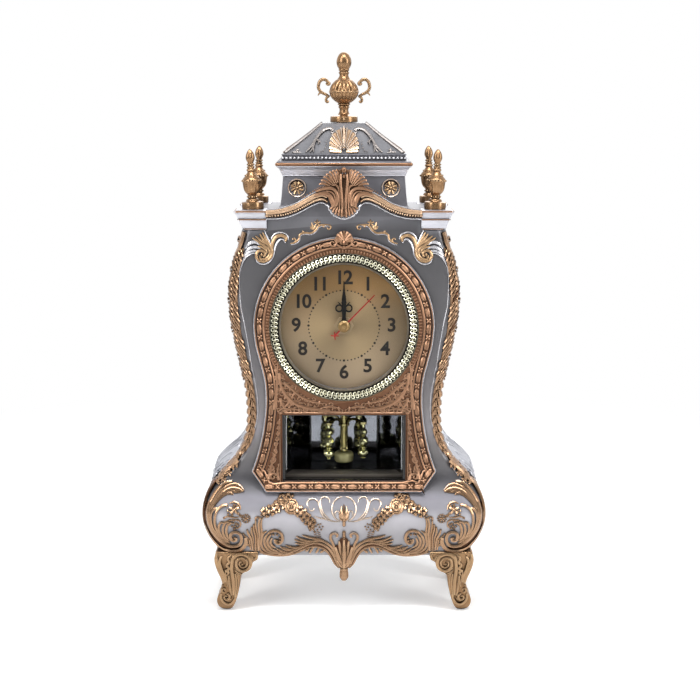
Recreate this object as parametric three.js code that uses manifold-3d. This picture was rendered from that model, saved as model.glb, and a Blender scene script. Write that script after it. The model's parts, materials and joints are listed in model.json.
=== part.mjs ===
// Ornate table clock: waisted case on four scroll legs, round dial, window with a rotating
// pendulum, arched pediment, hipped roof, urn on top and four corner finials.
// Millimetres, +Z up, origin at the centre of the footprint, front towards -Y, +X to the right.
import * as THREE from 'three';
import { mergeVertices } from 'three/addons/utils/BufferGeometryUtils.js';
import Module from 'manifold-3d';

const wasm = await Module();
wasm.setup();

// Overall heights
const legHeight = 35.2;
const bellyZ = 60;
const waistZ = 117;
const shoulderZ = 188;
const caseTopZ = 225;
const deckHeight = 11.7;
const atticHeight = 18.2;

// Case outline, half widths seen from the front
const bottomHalf = 71;
const bellyHalf = 81.2;
const waistHalf = 56;
const shoulderHalf = 66.2;
const topHalf = 58.5;

// Case outline seen from the side
const flatFront = 31;
const flatRear = 31;
const bellySwellFront = 10.05;
const bellySwellRear = 12;
const swellTopZ = 84;
const swellTuck = 0.36;
const flankSwell = 5.4;
const flankZ = 86;
const flankRise = 13;
const cornerRadius = 7;
const wall = 3;
const gap = 0.3;
const splitY = 2;

// Front layers
const relief = 2.4;
const sideRelief = 2;
const dialZ = 169.7;
const surroundRadius = 51.8;
const surroundDepth = 5.6;
const surroundWaistHalf = 45;
const surroundWaistZ = 126;
const surroundFootHalf = 53.6;
const surroundFootZ = 84.8;
const surroundBottomHalf = 45.3;
const surroundBottomZ = 72.8;
const windowHalf = 35.8;
const windowBottomZ = 79.4;
const windowTopZ = 118.9;
const chainRadius = 40.2;
const chainTube = 2.4;
const chainLinks = 72;
const chainSide = 4;
const lensRadius = 36.9;
const lensRingInner = 34.9;
const lensRingOuter = 37.4;
const lensFront = 34.4;
const dialHoleRadius = 34.4;
const dialRadius = 38;
const dialThickness = 1;
const paneMargin = 2.2;
const paneThickness = 1;

// Hands and their stem
const bushRadius = 3.2;
const hourPipeRadius = 2.3;
const minutePipeRadius = 1.5;
const secondPinRadius = 0.7;
const handHoleGap = 0.25;
const nutThickness = 1;
const handThickness = 0.5;
const handSpacing = 0.8;
const hourLength = 18.5;
const minuteLength = 26;
const secondLength = 25;
const secondTail = 8;
const secondAngle = 44;
const capRadius = 3.4;
const capHeight = 0.8;

// Movement, pendulum drive and rotor
const movementSize = 56;
const movementDepth = 16;
const batteryRadius = 7;
const batteryLength = 50;
const knobRadius = 6;
const knobOffset = 11;
const knobHeight = 5;
const knobPin = 1.5;
const rotorY = -5;
const rotorArmRadius = 14.6;
const rotorAngle = 6.5;
const rotorColumnRadius = 2.3;
const rotorNutRadius = 5.9;
const rotorNutHeight = 6.3;
const rotorNutZ = 83.6;
const rotorArmZ = 108.5;
const rotorSpindleHeight = 20.4;
const rotorSpindleRadius = 2.9;
const rotorTopZ = 123;
const driveHalf = 14;
const driveHeight = 13;
const linerWall = 1.5;
const linerBackHalf = 23;
const linerBackY = 16;
const mirrorThickness = 1.2;

// Service opening in the back
const serviceHalf = 33;
const serviceBottomZ = 127;
const serviceTopZ = 205;
const lidThickness = 2.2;
const lidOverlap = 4;

// Top parts
const capitalInner = 44;
const capitalOuter = 62;
const capitalFront = 36;
const capitalInnerY = 16.5;
const finialX = 52;
const finialY = 26.5;
const finialHeight = 33.8;
const finialBaseRadius = 5.8;
const atticFootHalf = 37;
const atticHeadHalf = 34.9;
const atticDepthHalf = 26;
const atticLip = 1.1;
const corniceHalf = 39.2;
const corniceHeight = 12.6;
const roofHeight = 17;
const roofHalf = 33;
const roofTopHalf = 12.6;
const roofTopDepthHalf = 8;
const urnHeight = 40.3;
const urnRadius = 8.7;
const urnBaseRadius = 7.7;
const urnHandleReach = 15.4;
const gadroons = 16;

// Ornaments
const pedimentDepth = 6;
const pedimentRise = 20;
const crestHalf = 10;
const crestHeight = 29;
const crestDepth = 3.2;
const rosetteRadius = 5;
const rosetteX = 26.8;
const rosetteZ = 248.8;
const trimWidth = 6.6;
const scrollVolute = 5;
const apronHalf = 50;
const apronDrop = 16.6;
const branchHeight = 17;

// Finishes
const finish = (colour, roughness, metalness) => new THREE.MeshStandardMaterial({
  color: colour, roughness, metalness });
const silver = finish(0xb4b5c0, 0.45, 0.5);
const darkSilver = finish(0x646469, 0.5, 0.4);
const gold = finish(0xbe9160, 0.4, 0.6);
const copper = finish(0xb27854, 0.42, 0.6);
const brightGold = finish(0xe6dca0, 0.18, 1);
const steel = finish(0xc8c4ba, 0.25, 1);
const blackPlastic = finish(0x17171a, 0.5, 0);
const dialCoat = finish(0xa8946c, 0.5, 0.3);
const handBlack = finish(0x101010, 0.4, 0.2);
const red = finish(0xaa1414, 0.4, 0);
const clear = new THREE.MeshStandardMaterial({
  color: 0xffffff, roughness: 0.05, metalness: 0, transparent: true, opacity: 0.2 });
const batteryCoat = finish(0x3c4b5a, 0.4, 0.3);

const clock = new THREE.Group();

// Solids from geometry and back
function solid(geometry) {
  const bare = geometry.clone();
  bare.deleteAttribute('normal');
  bare.deleteAttribute('uv');
  const merged = mergeVertices(bare, 1e-4);
  const source = merged.index.array;
  const kept = [];
  for (let i = 0; i < source.length; i += 3) {
    const [a, b, c] = [source[i], source[i + 1], source[i + 2]];
    if (a !== b && b !== c && c !== a) kept.push(a, b, c);
  }
  const make = (triangles) => new wasm.Manifold(new wasm.Mesh({
    numProp: 3,
    vertProperties: new Float32Array(merged.attributes.position.array),
    triVerts: new Uint32Array(triangles) }));
  const made = make(kept);
  if (made.volume() > 0) return made;
  for (let i = 0; i < kept.length; i += 3) [kept[i], kept[i + 1]] = [kept[i + 1], kept[i]];
  return make(kept);
}

function geometryOf(manifold) {
  const mesh = manifold.getMesh();
  const geometry = new THREE.BufferGeometry();
  geometry.setAttribute('position', new THREE.BufferAttribute(new Float32Array(mesh.vertProperties), 3));
  geometry.setIndex(new THREE.BufferAttribute(new Uint32Array(mesh.triVerts), 1));
  geometry.computeVertexNormals();
  return geometry;
}

function place(name, manifold, material, position = [0, 0, 0]) {
  const mesh = new THREE.Mesh(geometryOf(manifold), material);
  mesh.name = name;
  mesh.position.set(...position);
  clock.add(mesh);
  return mesh;
}

function join(...solids) {
  return solids.reduce((all, next) => all.add(next));
}

// A box between two corners
function block(low, high) {
  const size = high.map((value, axis) => value - low[axis]);
  const geometry = new THREE.BoxGeometry(...size);
  geometry.translate(...high.map((value, axis) => (value + low[axis]) / 2));
  return solid(geometry);
}

// A shape drawn as X and Z, pushed from frontY back to backY
function panel(shape, frontY, backY, bevel = 0, curveSegments = 8) {
  const geometry = new THREE.ExtrudeGeometry(shape, {
    depth: backY - frontY - 2 * bevel,
    bevelEnabled: bevel > 0,
    bevelThickness: bevel,
    bevelSize: bevel,
    bevelOffset: -bevel,
    bevelSegments: 1,
    curveSegments });
  geometry.rotateX(Math.PI / 2);
  geometry.translate(0, backY - bevel, 0);
  return solid(geometry);
}

// A shape drawn as X and Y, pushed from lowZ up to highZ
function slab(shape, lowZ, highZ, curveSegments = 8) {
  const geometry = new THREE.ExtrudeGeometry(shape, {
    depth: highZ - lowZ, bevelEnabled: false, curveSegments });
  geometry.translate(0, 0, lowZ);
  return solid(geometry);
}

// A turned piece about Z; profile points are [radius, height]
function turned(profile, segments = 24) {
  const geometry = new THREE.LatheGeometry(profile.map(([r, z]) => new THREE.Vector2(r, z)), segments);
  geometry.rotateX(Math.PI / 2);
  return solid(geometry);
}

// A turned piece about Y at the dial's height; profile points are [radius, depth behind the front]
function faced(profile, segments = 36, z = dialZ) {
  const geometry = new THREE.LatheGeometry(profile.map(([r, y]) => new THREE.Vector2(r, y)), segments);
  return solid(geometry).translate([0, 0, z]);
}

// Mirrors a solid in the plane x = 0, or y = 0
const mirrorX = (piece) => piece.mirror([1, 0, 0]);
const mirrorY = (piece) => piece.mirror([0, 1, 0]);

// A solid through rings of equal point counts, closed by flat ends
function loft(rings) {
  const count = rings[0].length;
  const positions = rings.flat(2);
  const index = [];
  for (let level = 0; level + 1 < rings.length; level += 1) {
    for (let i = 0; i < count; i += 1) {
      const a = level * count + i;
      const b = level * count + (i + 1) % count;
      index.push(a, b, b + count, a, b + count, a + count);
    }
  }
  const last = (rings.length - 1) * count;
  for (let i = 1; i + 1 < count; i += 1) {
    index.push(0, i + 1, i, last, last + i, last + i + 1);
  }
  const geometry = new THREE.BufferGeometry();
  geometry.setAttribute('position', new THREE.Float32BufferAttribute(positions, 3));
  geometry.setIndex(index);
  return solid(geometry);
}

// A rectangle at one height
const rectangle = (lowX, highX, lowY, highY, z) => [
  [lowX, lowY, z], [highX, lowY, z], [highX, highY, z], [lowX, highY, z]];

// A shape drawn as Y and Z, pushed from lowX to highX
function sideways(shape, lowX, highX, curveSegments = 8) {
  const geometry = new THREE.ExtrudeGeometry(shape, {
    depth: highX - lowX, bevelEnabled: false, curveSegments });
  geometry.applyMatrix4(new THREE.Matrix4().set(0, 0, 1, lowX, 1, 0, 0, 0, 0, 1, 0, 0, 0, 0, 0, 1));
  return solid(geometry);
}

function disc(x, z, radius, segments = 16) {
  const shape = new THREE.Shape();
  for (let i = 0; i < segments; i += 1) {
    const turn = (2 * Math.PI * i) / segments;
    const point = [x + radius * Math.cos(turn), z + radius * Math.sin(turn)];
    if (i === 0) shape.moveTo(...point);
    else shape.lineTo(...point);
  }
  shape.closePath();
  return shape;
}

function rectangleShape(lowX, highX, lowZ, highZ) {
  return new THREE.Shape([[lowX, lowZ], [highX, lowZ], [highX, highZ], [lowX, highZ]]
    .map(([x, z]) => new THREE.Vector2(x, z)));
}

// Case: four smooth curves give the half width over the height
const caseCurves = [
  { points: [[bottomHalf, legHeight], [bottomHalf + 5, legHeight + 7], [bellyHalf, bellyZ - 10],
    [bellyHalf, bellyZ]], steps: 5 },
  { points: [[bellyHalf, bellyZ], [bellyHalf, bellyZ + 24], [waistHalf, waistZ - 33],
    [waistHalf, waistZ]], steps: 10 },
  { points: [[waistHalf, waistZ], [waistHalf, waistZ + 28], [shoulderHalf, shoulderZ - 28],
    [shoulderHalf, shoulderZ]], steps: 5 },
  { points: [[shoulderHalf, shoulderZ], [shoulderHalf, shoulderZ + 12], [topHalf + 3, caseTopZ - 11],
    [topHalf, caseTopZ]], steps: 5 },
];
const caseLine = caseCurves.flatMap(({ points, steps }, n) => {
  const curve = new THREE.CubicBezierCurve(...points.map(([x, z]) => new THREE.Vector2(x, z)));
  return curve.getPoints(steps).slice(n > 0 ? 1 : 0);
});

function caseHalf(z) {
  const above = caseLine.findIndex((point) => point.y >= z);
  if (above <= 0) return above < 0 ? topHalf : bottomHalf;
  const low = caseLine[above - 1];
  const high = caseLine[above];
  return low.x + ((high.x - low.x) * (z - low.y)) / (high.y - low.y);
}

// How far the belly swells out of the flat front and back, from 0 to 1
function swell(z) {
  if (z >= swellTopZ) return 0;
  if (z >= bellyZ) return (1 + Math.cos((Math.PI * (z - bellyZ)) / (swellTopZ - bellyZ))) / 2;
  const down = Math.min((bellyZ - z) / (bellyZ - legHeight), 1);
  return 1 - swellTuck * (1 - Math.cos((Math.PI / 2) * down));
}
// How far the flank swells out at its middle, over the belly's shoulder
function flankOut(z) {
  const away = Math.min(Math.abs(z - flankZ) / flankRise, 1);
  return (flankSwell * (1 + Math.cos(Math.PI * away))) / 2;
}
const frontY = (z) => -flatFront - bellySwellFront * swell(z);
const rearY = (z) => flatRear + bellySwellRear * swell(z);

// One level of the case: a rectangle with round corners, grown outwards by growX and growY
function caseRing(z, at, growX, growY) {
  const half = caseHalf(z) + growX;
  const front = frontY(z) - growY;
  const rear = rearY(z) + growY;
  const corner = Math.max(cornerRadius + Math.min(growX, growY), 1);
  const corners = [
    [half - corner, front + corner, -90], [half - corner, rear - corner, 0],
    [corner - half, rear - corner, 90], [corner - half, front + corner, 180]];
  const quarter = ([x, y, start]) => [0, 30, 60, 90].map((turn) => {
    const angle = ((start + turn) * Math.PI) / 180;
    return [x + corner * Math.cos(angle), y + corner * Math.sin(angle), at];
  });
  const flank = (side) => [-45, 0, 45].map((turn) => {
    const angle = (turn * Math.PI) / 180;
    const y = (front + rear) / 2 + side * ((rear - front) / 2 - corner) * Math.sin(angle);
    return [side * (half + flankOut(z) * Math.cos(angle)), y, at];
  });
  return [...quarter(corners[0]), ...flank(1), ...quarter(corners[1]), ...quarter(corners[2]), ...flank(-1),
    ...quarter(corners[3])];
}

function caseSolid(growX, growY, below = 0, above = 0) {
  const heights = caseLine.map((point) => point.y);
  const rings = heights.map((z) => caseRing(z, z, growX, growY));
  if (below > 0) rings.unshift(caseRing(heights[0], heights[0] - below, growX, growY));
  if (above > 0) rings.push(caseRing(caseTopZ, caseTopZ + above, growX, growY));
  return loft(rings);
}

// What an ornament keeps clear of, and the skin that it may fill
const caseBody = caseSolid(gap, gap, gap, gap);
const ornamentSkin = caseSolid(sideRelief, relief, 25, 0);
const appliedTo = (piece) => piece.intersect(ornamentSkin).subtract(caseBody);

// Shells
function caseShells() {
  const outer = caseSolid(0, 0);
  const hollowTop = caseTopZ - wall;
  const levels = caseLine.map((point) => point.y).filter((z, i) => z < hollowTop - 1 && i % 2 === 0);
  const hollow = loft([
    caseRing(legHeight, legHeight - 1, -wall, -wall),
    ...levels.map((z) => caseRing(z, z, -wall, -wall)),
    caseRing(hollowTop, hollowTop, -wall, -wall)]);
  const deep = flatFront + bellySwellFront + relief;
  const dialHole = panel(disc(0, dialZ, dialHoleRadius, 48), -deep, -flatFront + wall + 2);
  const windowHole = panel(rectangleShape(-windowHalf, windowHalf, windowBottomZ, windowTopZ),
    -deep, -flatFront + wall + 2);
  const serviceHole = panel(rectangleShape(-serviceHalf, serviceHalf, serviceBottomZ, serviceTopZ),
    flatRear - wall - 2, flatRear + 5);
  const shell = outer.subtract(hollow).subtract(dialHole).subtract(windowHole).subtract(serviceHole);
  const reach = bellyHalf + 10;
  const half = (low, high) => block([-reach, low, legHeight - 5], [reach, high, caseTopZ + 5]);
  place('front_shell', shell.intersect(half(-60, splitY - gap / 2)), silver);
  place('rear_shell', shell.intersect(half(splitY + gap / 2, 60)), silver);
}

function basePlate() {
  const inside = -wall - gap;
  const plate = loft([
    caseRing(legHeight, legHeight, inside, inside),
    caseRing(legHeight + wall, legHeight + wall, inside, inside)]);
  place('base_plate', plate, silver);
}

function serviceLid() {
  const outside = flatRear + gap;
  const plate = panel(rectangleShape(-serviceHalf - lidOverlap, serviceHalf + lidOverlap,
    serviceBottomZ - lidOverlap, serviceTopZ + lidOverlap), outside, outside + lidThickness, 0.6);
  const plug = panel(rectangleShape(-serviceHalf + 0.5, serviceHalf - 0.5,
    serviceBottomZ + 0.5, serviceTopZ - 0.5), flatRear - wall, outside + 0.5);
  place('service_lid', join(plate, plug), silver);
}

// Legs: the same scroll outline seen from the front and from the side
const legTopWidth = 25.6;
const legAnkleZ = 14.5;
const legAnkleIn = 3.9;
const legToeIn = 0.8;
const legSoleLength = 4;

function legShape(outer) {
  const inner = outer - legTopWidth;
  const ankle = outer - legAnkleIn;
  const toe = outer - legToeIn;
  const top = legHeight - gap;
  const sole = outer - 4.2;
  const heel = sole - legSoleLength;
  const shape = new THREE.Shape();
  shape.moveTo(inner, top);
  shape.bezierCurveTo(inner + 1, top - 4, inner + 3.6, top - 4, inner + 4.4, top - 7.2);
  shape.bezierCurveTo(inner + 5.5, top - 11, inner + 10.8, top - 11, inner + 10.9, top - 16);
  shape.bezierCurveTo(inner + 10.9, legAnkleZ - 3, heel - 3.5, 2.5, heel, 0);
  shape.lineTo(sole, 0);
  shape.bezierCurveTo(sole + 2.5, 0, toe, 2.5, toe, 5.5);
  shape.bezierCurveTo(toe, 9, ankle, 11, ankle, legAnkleZ);
  shape.bezierCurveTo(ankle, 20, outer, 28, outer, top);
  shape.closePath();
  return shape;
}

function legs() {
  const outerX = bottomHalf + 4.4;
  const outerY = flatFront + bellySwellFront * (1 - swellTuck) + relief;
  const fromFront = panel(legShape(outerX), -outerY - 1, -outerY + legTopWidth + 1, 0, 5);
  const fromSide = mirrorY(sideways(legShape(outerY), outerX - legTopWidth - 1, outerX + 1, 5));
  const right = fromFront.intersect(fromSide);
  place('leg_front_right', right, gold);
  place('leg_front_left', mirrorX(right), gold);
  place('leg_rear_right', mirrorY(right), gold);
  place('leg_rear_left', mirrorY(mirrorX(right)), gold);
}

caseShells();
basePlate();
serviceLid();
legs();

// Deck on the case, four stepped capitals and their finials
const deckZ = caseTopZ + gap;
const deckTopZ = caseTopZ + deckHeight;

function topDeck() {
  const inner = capitalInner - gap;
  const innerY = capitalInnerY - gap;
  const middle = block([-inner, -flatFront, deckZ], [inner, flatRear, deckTopZ]);
  const wings = block([-topHalf, -innerY, deckZ], [topHalf, innerY, deckTopZ]);
  const arch = new THREE.Shape();
  arch.moveTo(-inner, deckTopZ - 1);
  arch.lineTo(inner, deckTopZ - 1);
  const peak = deckTopZ + pedimentRise;
  arch.bezierCurveTo(inner - 18, deckTopZ, inner - 26, peak - 4, 0, peak);
  arch.bezierCurveTo(26 - inner, peak - 4, 18 - inner, deckTopZ, -inner, deckTopZ - 1);
  const tympanum = panel(arch, -flatFront, -flatFront + 3);
  place('top_deck', join(middle, wings, tympanum), darkSilver);
}

function capital() {
  const tier = (z, out) => rectangle(
    capitalInner, capitalOuter - out, out - capitalFront, -capitalInnerY, z);
  const top = deckTopZ;
  return loft([
    tier(deckZ, 5.6), tier(deckZ + 4.4, 3.4), tier(deckZ + 5.4, 3.4), tier(deckZ + 5.5, 2.6),
    tier(deckZ + 7.6, 1.4), tier(deckZ + 8.3, 1.4), tier(deckZ + 8.4, 0), tier(top, 0)]);
}

function cornerFinial() {
  const drawn = { height: 33.8, base: 5.8 };
  const r = finialBaseRadius / drawn.base;
  const h = finialHeight / drawn.height;
  const profile = [[0, 0], [5.8, 0], [5.8, 1.4], [4.3, 2.1], [4.3, 3], [2.4, 3.8], [2, 5.4], [3.3, 6.2],
    [3.3, 7.2], [2, 8], [2.8, 9.4], [5.2, 11.6], [6.3, 14.4], [6.6, 15.8], [5.4, 17], [2.5, 18.2],
    [2.2, 19.6], [3, 20.3], [3, 21.3], [1.9, 22], [3, 24.4], [3.3, 26.6], [2.6, 29.6], [1.2, 32.6],
    [0, drawn.height]];
  return turned(profile.map(([radius, z]) => [radius * r, z * h]), 10);
}

function corners() {
  const corner = capital();
  const finial = cornerFinial();
  for (const [side, x] of [['left', -1], ['right', 1]]) {
    for (const [end, y] of [['front', 1], ['rear', -1]]) {
      const turn = (piece) => {
        const across = x < 0 ? mirrorX(piece) : piece;
        return y < 0 ? mirrorY(across) : across;
      };
      place(`capital_${end}_${side}`, turn(corner), silver);
      place(`finial_${end}_${side}`, finial, gold, [x * finialX, -y * finialY, deckTopZ + gap]);
    }
  }
}

// Attic box, coved cornice and hipped roof
const atticZ = deckTopZ + gap;
const corniceZ = atticZ + atticHeight + gap;
const roofZ = corniceZ + corniceHeight + gap;
const roofTopZ = roofZ + roofHeight;

const tapered = (half, depthHalf, z) => rectangle(-half, half, -depthHalf, depthHalf, z);

function atticAndRoof() {
  const spread = atticDepthHalf - atticFootHalf;
  const step = (half, z) => tapered(half, half + spread, z);
  const lipZ = atticZ + atticHeight - atticLip;
  place('attic_box', loft([
    step(atticFootHalf, atticZ), step(atticHeadHalf, lipZ),
    step(atticHeadHalf + atticLip, lipZ + atticLip)]), darkSilver);
  const coveHalf = atticHeadHalf + 0.4;
  const cove = [0, 30, 60, 90].map((turn) => {
    const angle = (turn * Math.PI) / 180;
    const half = coveHalf + (corniceHalf - coveHalf) * (1 - Math.cos(angle));
    return step(half, corniceZ + 1 + 5.6 * Math.sin(angle));
  });
  place('roof_cornice', loft([
    step(coveHalf, corniceZ), ...cove, step(corniceHalf, corniceZ + 9.4),
    step(corniceHalf - 2.4, corniceZ + 9.8), step(corniceHalf - 2.4, corniceZ + corniceHeight)]), silver);
  const slope = [0, 0.3, 0.65, 1].map((t) => {
    const inward = Math.pow(t, 0.92);
    const half = roofHalf + (roofTopHalf - roofHalf) * inward;
    const depth = roofHalf + spread + (roofTopDepthHalf - roofHalf - spread) * inward;
    return tapered(half, depth, roofZ + roofHeight * t);
  });
  place('roof_shell', loft(slope), silver);
}

// Urn with a gadrooned bowl and two scroll handles
function crownUrn() {
  const z0 = roofTopZ + gap;
  const drawn = { height: 40.6, bowl: 8.7, base: 7.7 };
  const r = urnRadius / drawn.bowl;
  const base = urnBaseRadius / drawn.base;
  const h = urnHeight / drawn.height;
  const foot = [[0, 0], [7.7, 0], [7.7, 1.4], [6.6, 2.2], [4.4, 3], [2.6, 5], [1.8, 7.6],
    [2.9, 8.4], [2.9, 9.6]];
  const bowl = [[1.9, 10.4], [3.4, 12], [5.6, 14], [7.6, 16.8], [8.2, 18], [8.7, 19.6], [8.3, 22],
    [6.6, 25]];
  const neck = [[3.4, 26.6], [2.3, 27.8], [2.9, 28.6], [2.9, 29.6], [2, 30.4], [3.4, 32.4], [4.2, 34.6],
    [3.8, 37], [2.2, 39.4], [0, drawn.height]];
  const sized = (part, share) => part.map(([x, z]) => [x * share, z * h]);
  const profile = [...sized(foot, base), ...sized(bowl, r), ...sized(neck, r)];
  const lobes = new THREE.LatheGeometry(sized([[0, 9.6], ...bowl, [0, 25]], r)
    .map(([x, z]) => new THREE.Vector2(x, z)), gadroons * 2);
  lobes.rotateX(Math.PI / 2);
  const at = lobes.attributes.position;
  for (let i = 0; i < at.count; i += 1) {
    const turn = Math.atan2(at.getY(i), at.getX(i));
    const shrink = 1 - 0.09 * (0.5 - 0.5 * Math.cos(gadroons * turn));
    at.setXY(i, at.getX(i) * shrink, at.getY(i) * shrink);
  }
  const lower = turned(sized([...foot, [1.5, 12], [0, 12]], base), 14);
  const upper = turned(sized([[0, 23], [4, 23], [5.6, 25.6], ...neck], r), 14);
  place('crown_urn', join(lower, solid(lobes), upper).translate([0, 0, z0]), gold);
  const section = disc(0, 0, 0.95, 6);
  const reach = urnHandleReach - 0.95;
  const points = [[8.4, 23], [10.4, 26.2], [13.2, 25.8], [reach, 22], [13.4, 17.6], [10.6, 15.2],
    [9.6, 12.6], [11.2, 11.2]];
  const route = new THREE.CatmullRomCurve3(points.map(([x, z]) => new THREE.Vector3(x * r, 0, z0 + z * h)));
  const tube = new THREE.ExtrudeGeometry(section, { extrudePath: route, steps: 15, bevelEnabled: false });
  const clearProfile = [[0, -gap], ...profile.slice(1, -1).map(([x, z]) => [x + gap, z]), [0, urnHeight]];
  const clearance = turned(clearProfile, gadroons * 2).translate([0, 0, z0]);
  const handle = solid(tube).subtract(clearance);
  place('urn_handle_right', handle, gold);
  place('urn_handle_left', mirrorX(handle), gold);
}

topDeck();
corners();
atticAndRoof();
crownUrn();

// Dial surround with its two openings, cut to lie on the case
function dialSurround() {
  const shape = new THREE.Shape();
  shape.moveTo(-surroundBottomHalf, surroundBottomZ);
  shape.lineTo(surroundBottomHalf, surroundBottomZ);
  shape.lineTo(surroundFootHalf, surroundFootZ);
  shape.bezierCurveTo(surroundFootHalf - 3, surroundFootZ + 14, surroundWaistHalf, surroundWaistZ - 18,
    surroundWaistHalf, surroundWaistZ);
  shape.bezierCurveTo(surroundWaistHalf, surroundWaistZ + 14, surroundRadius, dialZ - 22,
    surroundRadius, dialZ);
  shape.absarc(0, dialZ, surroundRadius, 0, Math.PI, false);
  shape.bezierCurveTo(-surroundRadius, dialZ - 22, -surroundWaistHalf, surroundWaistZ + 14,
    -surroundWaistHalf, surroundWaistZ);
  shape.bezierCurveTo(-surroundWaistHalf, surroundWaistZ - 18, 3 - surroundFootHalf, surroundFootZ + 14,
    -surroundFootHalf, surroundFootZ);
  shape.closePath();
  const front = -flatFront - surroundDepth;
  const plate = panel(shape, front, -flatFront + 2, 1.2, 10);
  const seat = panel(disc(0, dialZ, chainRadius + chainTube + gap, 64), front - 2, -flatFront + 3);
  const windowHole = panel(rectangleShape(-windowHalf, windowHalf, windowBottomZ, windowTopZ),
    front - 2, -flatFront + 3);
  place('dial_surround', plate.subtract(seat).subtract(windowHole).subtract(caseBody), copper);
}

// Chain bezel: one ring whose front rises and falls with each round link
function chainBezel() {
  const inner = chainRadius - chainTube;
  const outer = chainRadius + chainTube;
  const back = -flatFront - gap;
  const side = -flatFront - chainSide;
  const front = side - chainTube * 1.2;
  const geometry = new THREE.LatheGeometry([[inner, back], [inner, side], [chainRadius, front], [outer, back],
    [inner, back]].map(([r, y]) => new THREE.Vector2(r, y)), chainLinks * 2);
  const at = geometry.attributes.position;
  for (let i = 0; i < at.count; i += 1) {
    const low = at.getY(i) - back;
    const turn = Math.atan2(at.getZ(i), at.getX(i));
    const scale = 0.82 + 0.18 * Math.cos(chainLinks * turn);
    if (low < -1) at.setY(i, back + low * scale);
  }
  place('chain_bezel', solid(geometry).translate([0, 0, dialZ]), brightGold);
}

// Lens with a rim, held by a turned ring
function lensAndRing() {
  const back = -flatFront - gap;
  const front = -lensFront;
  place('dial_lens', faced([[0, front], [lensRadius - 0.6, front], [lensRadius, front + 0.6], [lensRadius, back],
    [lensRadius - 1, back], [lensRadius - 1, front + 1.2], [0, front + 1.2]]), clear);
  const face = front - gap;
  place('lens_ring', faced([[lensRingInner, face], [lensRingInner, face - 1], [lensRingInner + 0.9, face - 2.2],
    [lensRingOuter, face - 2.2], [lensRingOuter, back], [lensRadius + 0.2, back], [lensRadius + 0.2, face],
    [lensRingInner, face]]), steel);
}

dialSurround();
chainBezel();
lensAndRing();

// Window pane and pendulum compartment behind the front wall
const innerFace = -flatFront + wall;
const dialFront = innerFace + gap;
const dialBack = dialFront + dialThickness;
const paneBack = dialFront + paneThickness;
const linerFront = paneBack + gap;
const linerLowZ = windowBottomZ - linerWall - gap;
const linerHighZ = windowTopZ + linerWall + gap;
const linerFrontHalf = windowHalf + linerWall;

function trapezoid(frontHalf, backHalf, front, back) {
  return new THREE.Shape([[-frontHalf, front], [frontHalf, front], [backHalf, back], [-backHalf, back]]
    .map(([x, y]) => new THREE.Vector2(x, y)));
}

function compartment() {
  const paneHalf = windowHalf + paneMargin;
  place('window_pane', panel(rectangleShape(-paneHalf, paneHalf, windowBottomZ - paneMargin,
    windowTopZ + paneMargin), dialFront, paneBack), clear);
  const outer = slab(trapezoid(linerFrontHalf, linerBackHalf, linerFront, linerBackY), linerLowZ, linerHighZ);
  const slope = (linerFrontHalf - linerBackHalf) / (linerBackY - linerFront);
  const roomX = (y) => linerFrontHalf - linerWall - slope * (y - linerFront);
  const roomBack = linerBackY - linerWall;
  const room = slab(trapezoid(roomX(linerFront - 2), roomX(roomBack), linerFront - 2, roomBack),
    linerLowZ + linerWall, linerHighZ - linerWall);
  const shaftHole = turned([[0, 0], [rotorColumnRadius + 0.7, 0], [rotorColumnRadius + 0.7, 6], [0, 6]])
    .translate([0, rotorY, linerHighZ - 3]);
  place('compartment_liner', outer.subtract(room).subtract(shaftHole), blackPlastic);
  const low = linerLowZ + linerWall + gap;
  const high = linerHighZ - linerWall - gap;
  const backFace = roomBack - gap;
  const backHalf = roomX(backFace) - mirrorThickness - 1;
  const back = block([-backHalf, backFace - mirrorThickness, low], [backHalf, backFace, high]);
  place('mirror_back', back, steel);
  const mirrorFace = (y) => roomX(y) - gap;
  const frontEnd = linerFront + 2;
  const backEnd = backFace - mirrorThickness - gap;
  const side = slab(new THREE.Shape([
    [mirrorFace(frontEnd) - mirrorThickness, frontEnd], [mirrorFace(frontEnd), frontEnd],
    [mirrorFace(backEnd), backEnd], [mirrorFace(backEnd) - mirrorThickness, backEnd]]
    .map(([x, y]) => new THREE.Vector2(x, y))), low, high);
  place('mirror_right', side, steel);
  place('mirror_left', mirrorX(side), steel);
}

// Movement with its stepped stem, pinned knob and battery tray
const movementFront = dialBack + gap;
const movementBack = movementFront + movementDepth;
const batteryZ = dialZ - movementSize / 2 + batteryRadius + 2.4;
const batteryY = movementBack - batteryRadius - 0.6;
const nutFront = dialFront - gap - nutThickness;
const hourFront = nutFront - gap - handThickness;
const minuteFront = hourFront - handSpacing;
const secondFront = minuteFront - handSpacing;
const capBack = secondFront - gap;

function lyingBattery(y, z) {
  const body = turned([[0, 0], [batteryRadius, 0], [batteryRadius, batteryLength - 1.2], [2.7, batteryLength - 1.2],
    [2.7, batteryLength], [0, batteryLength]], 14);
  return body.rotate([0, 90, 0]).translate([-batteryLength / 2, y, z]);
}

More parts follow.
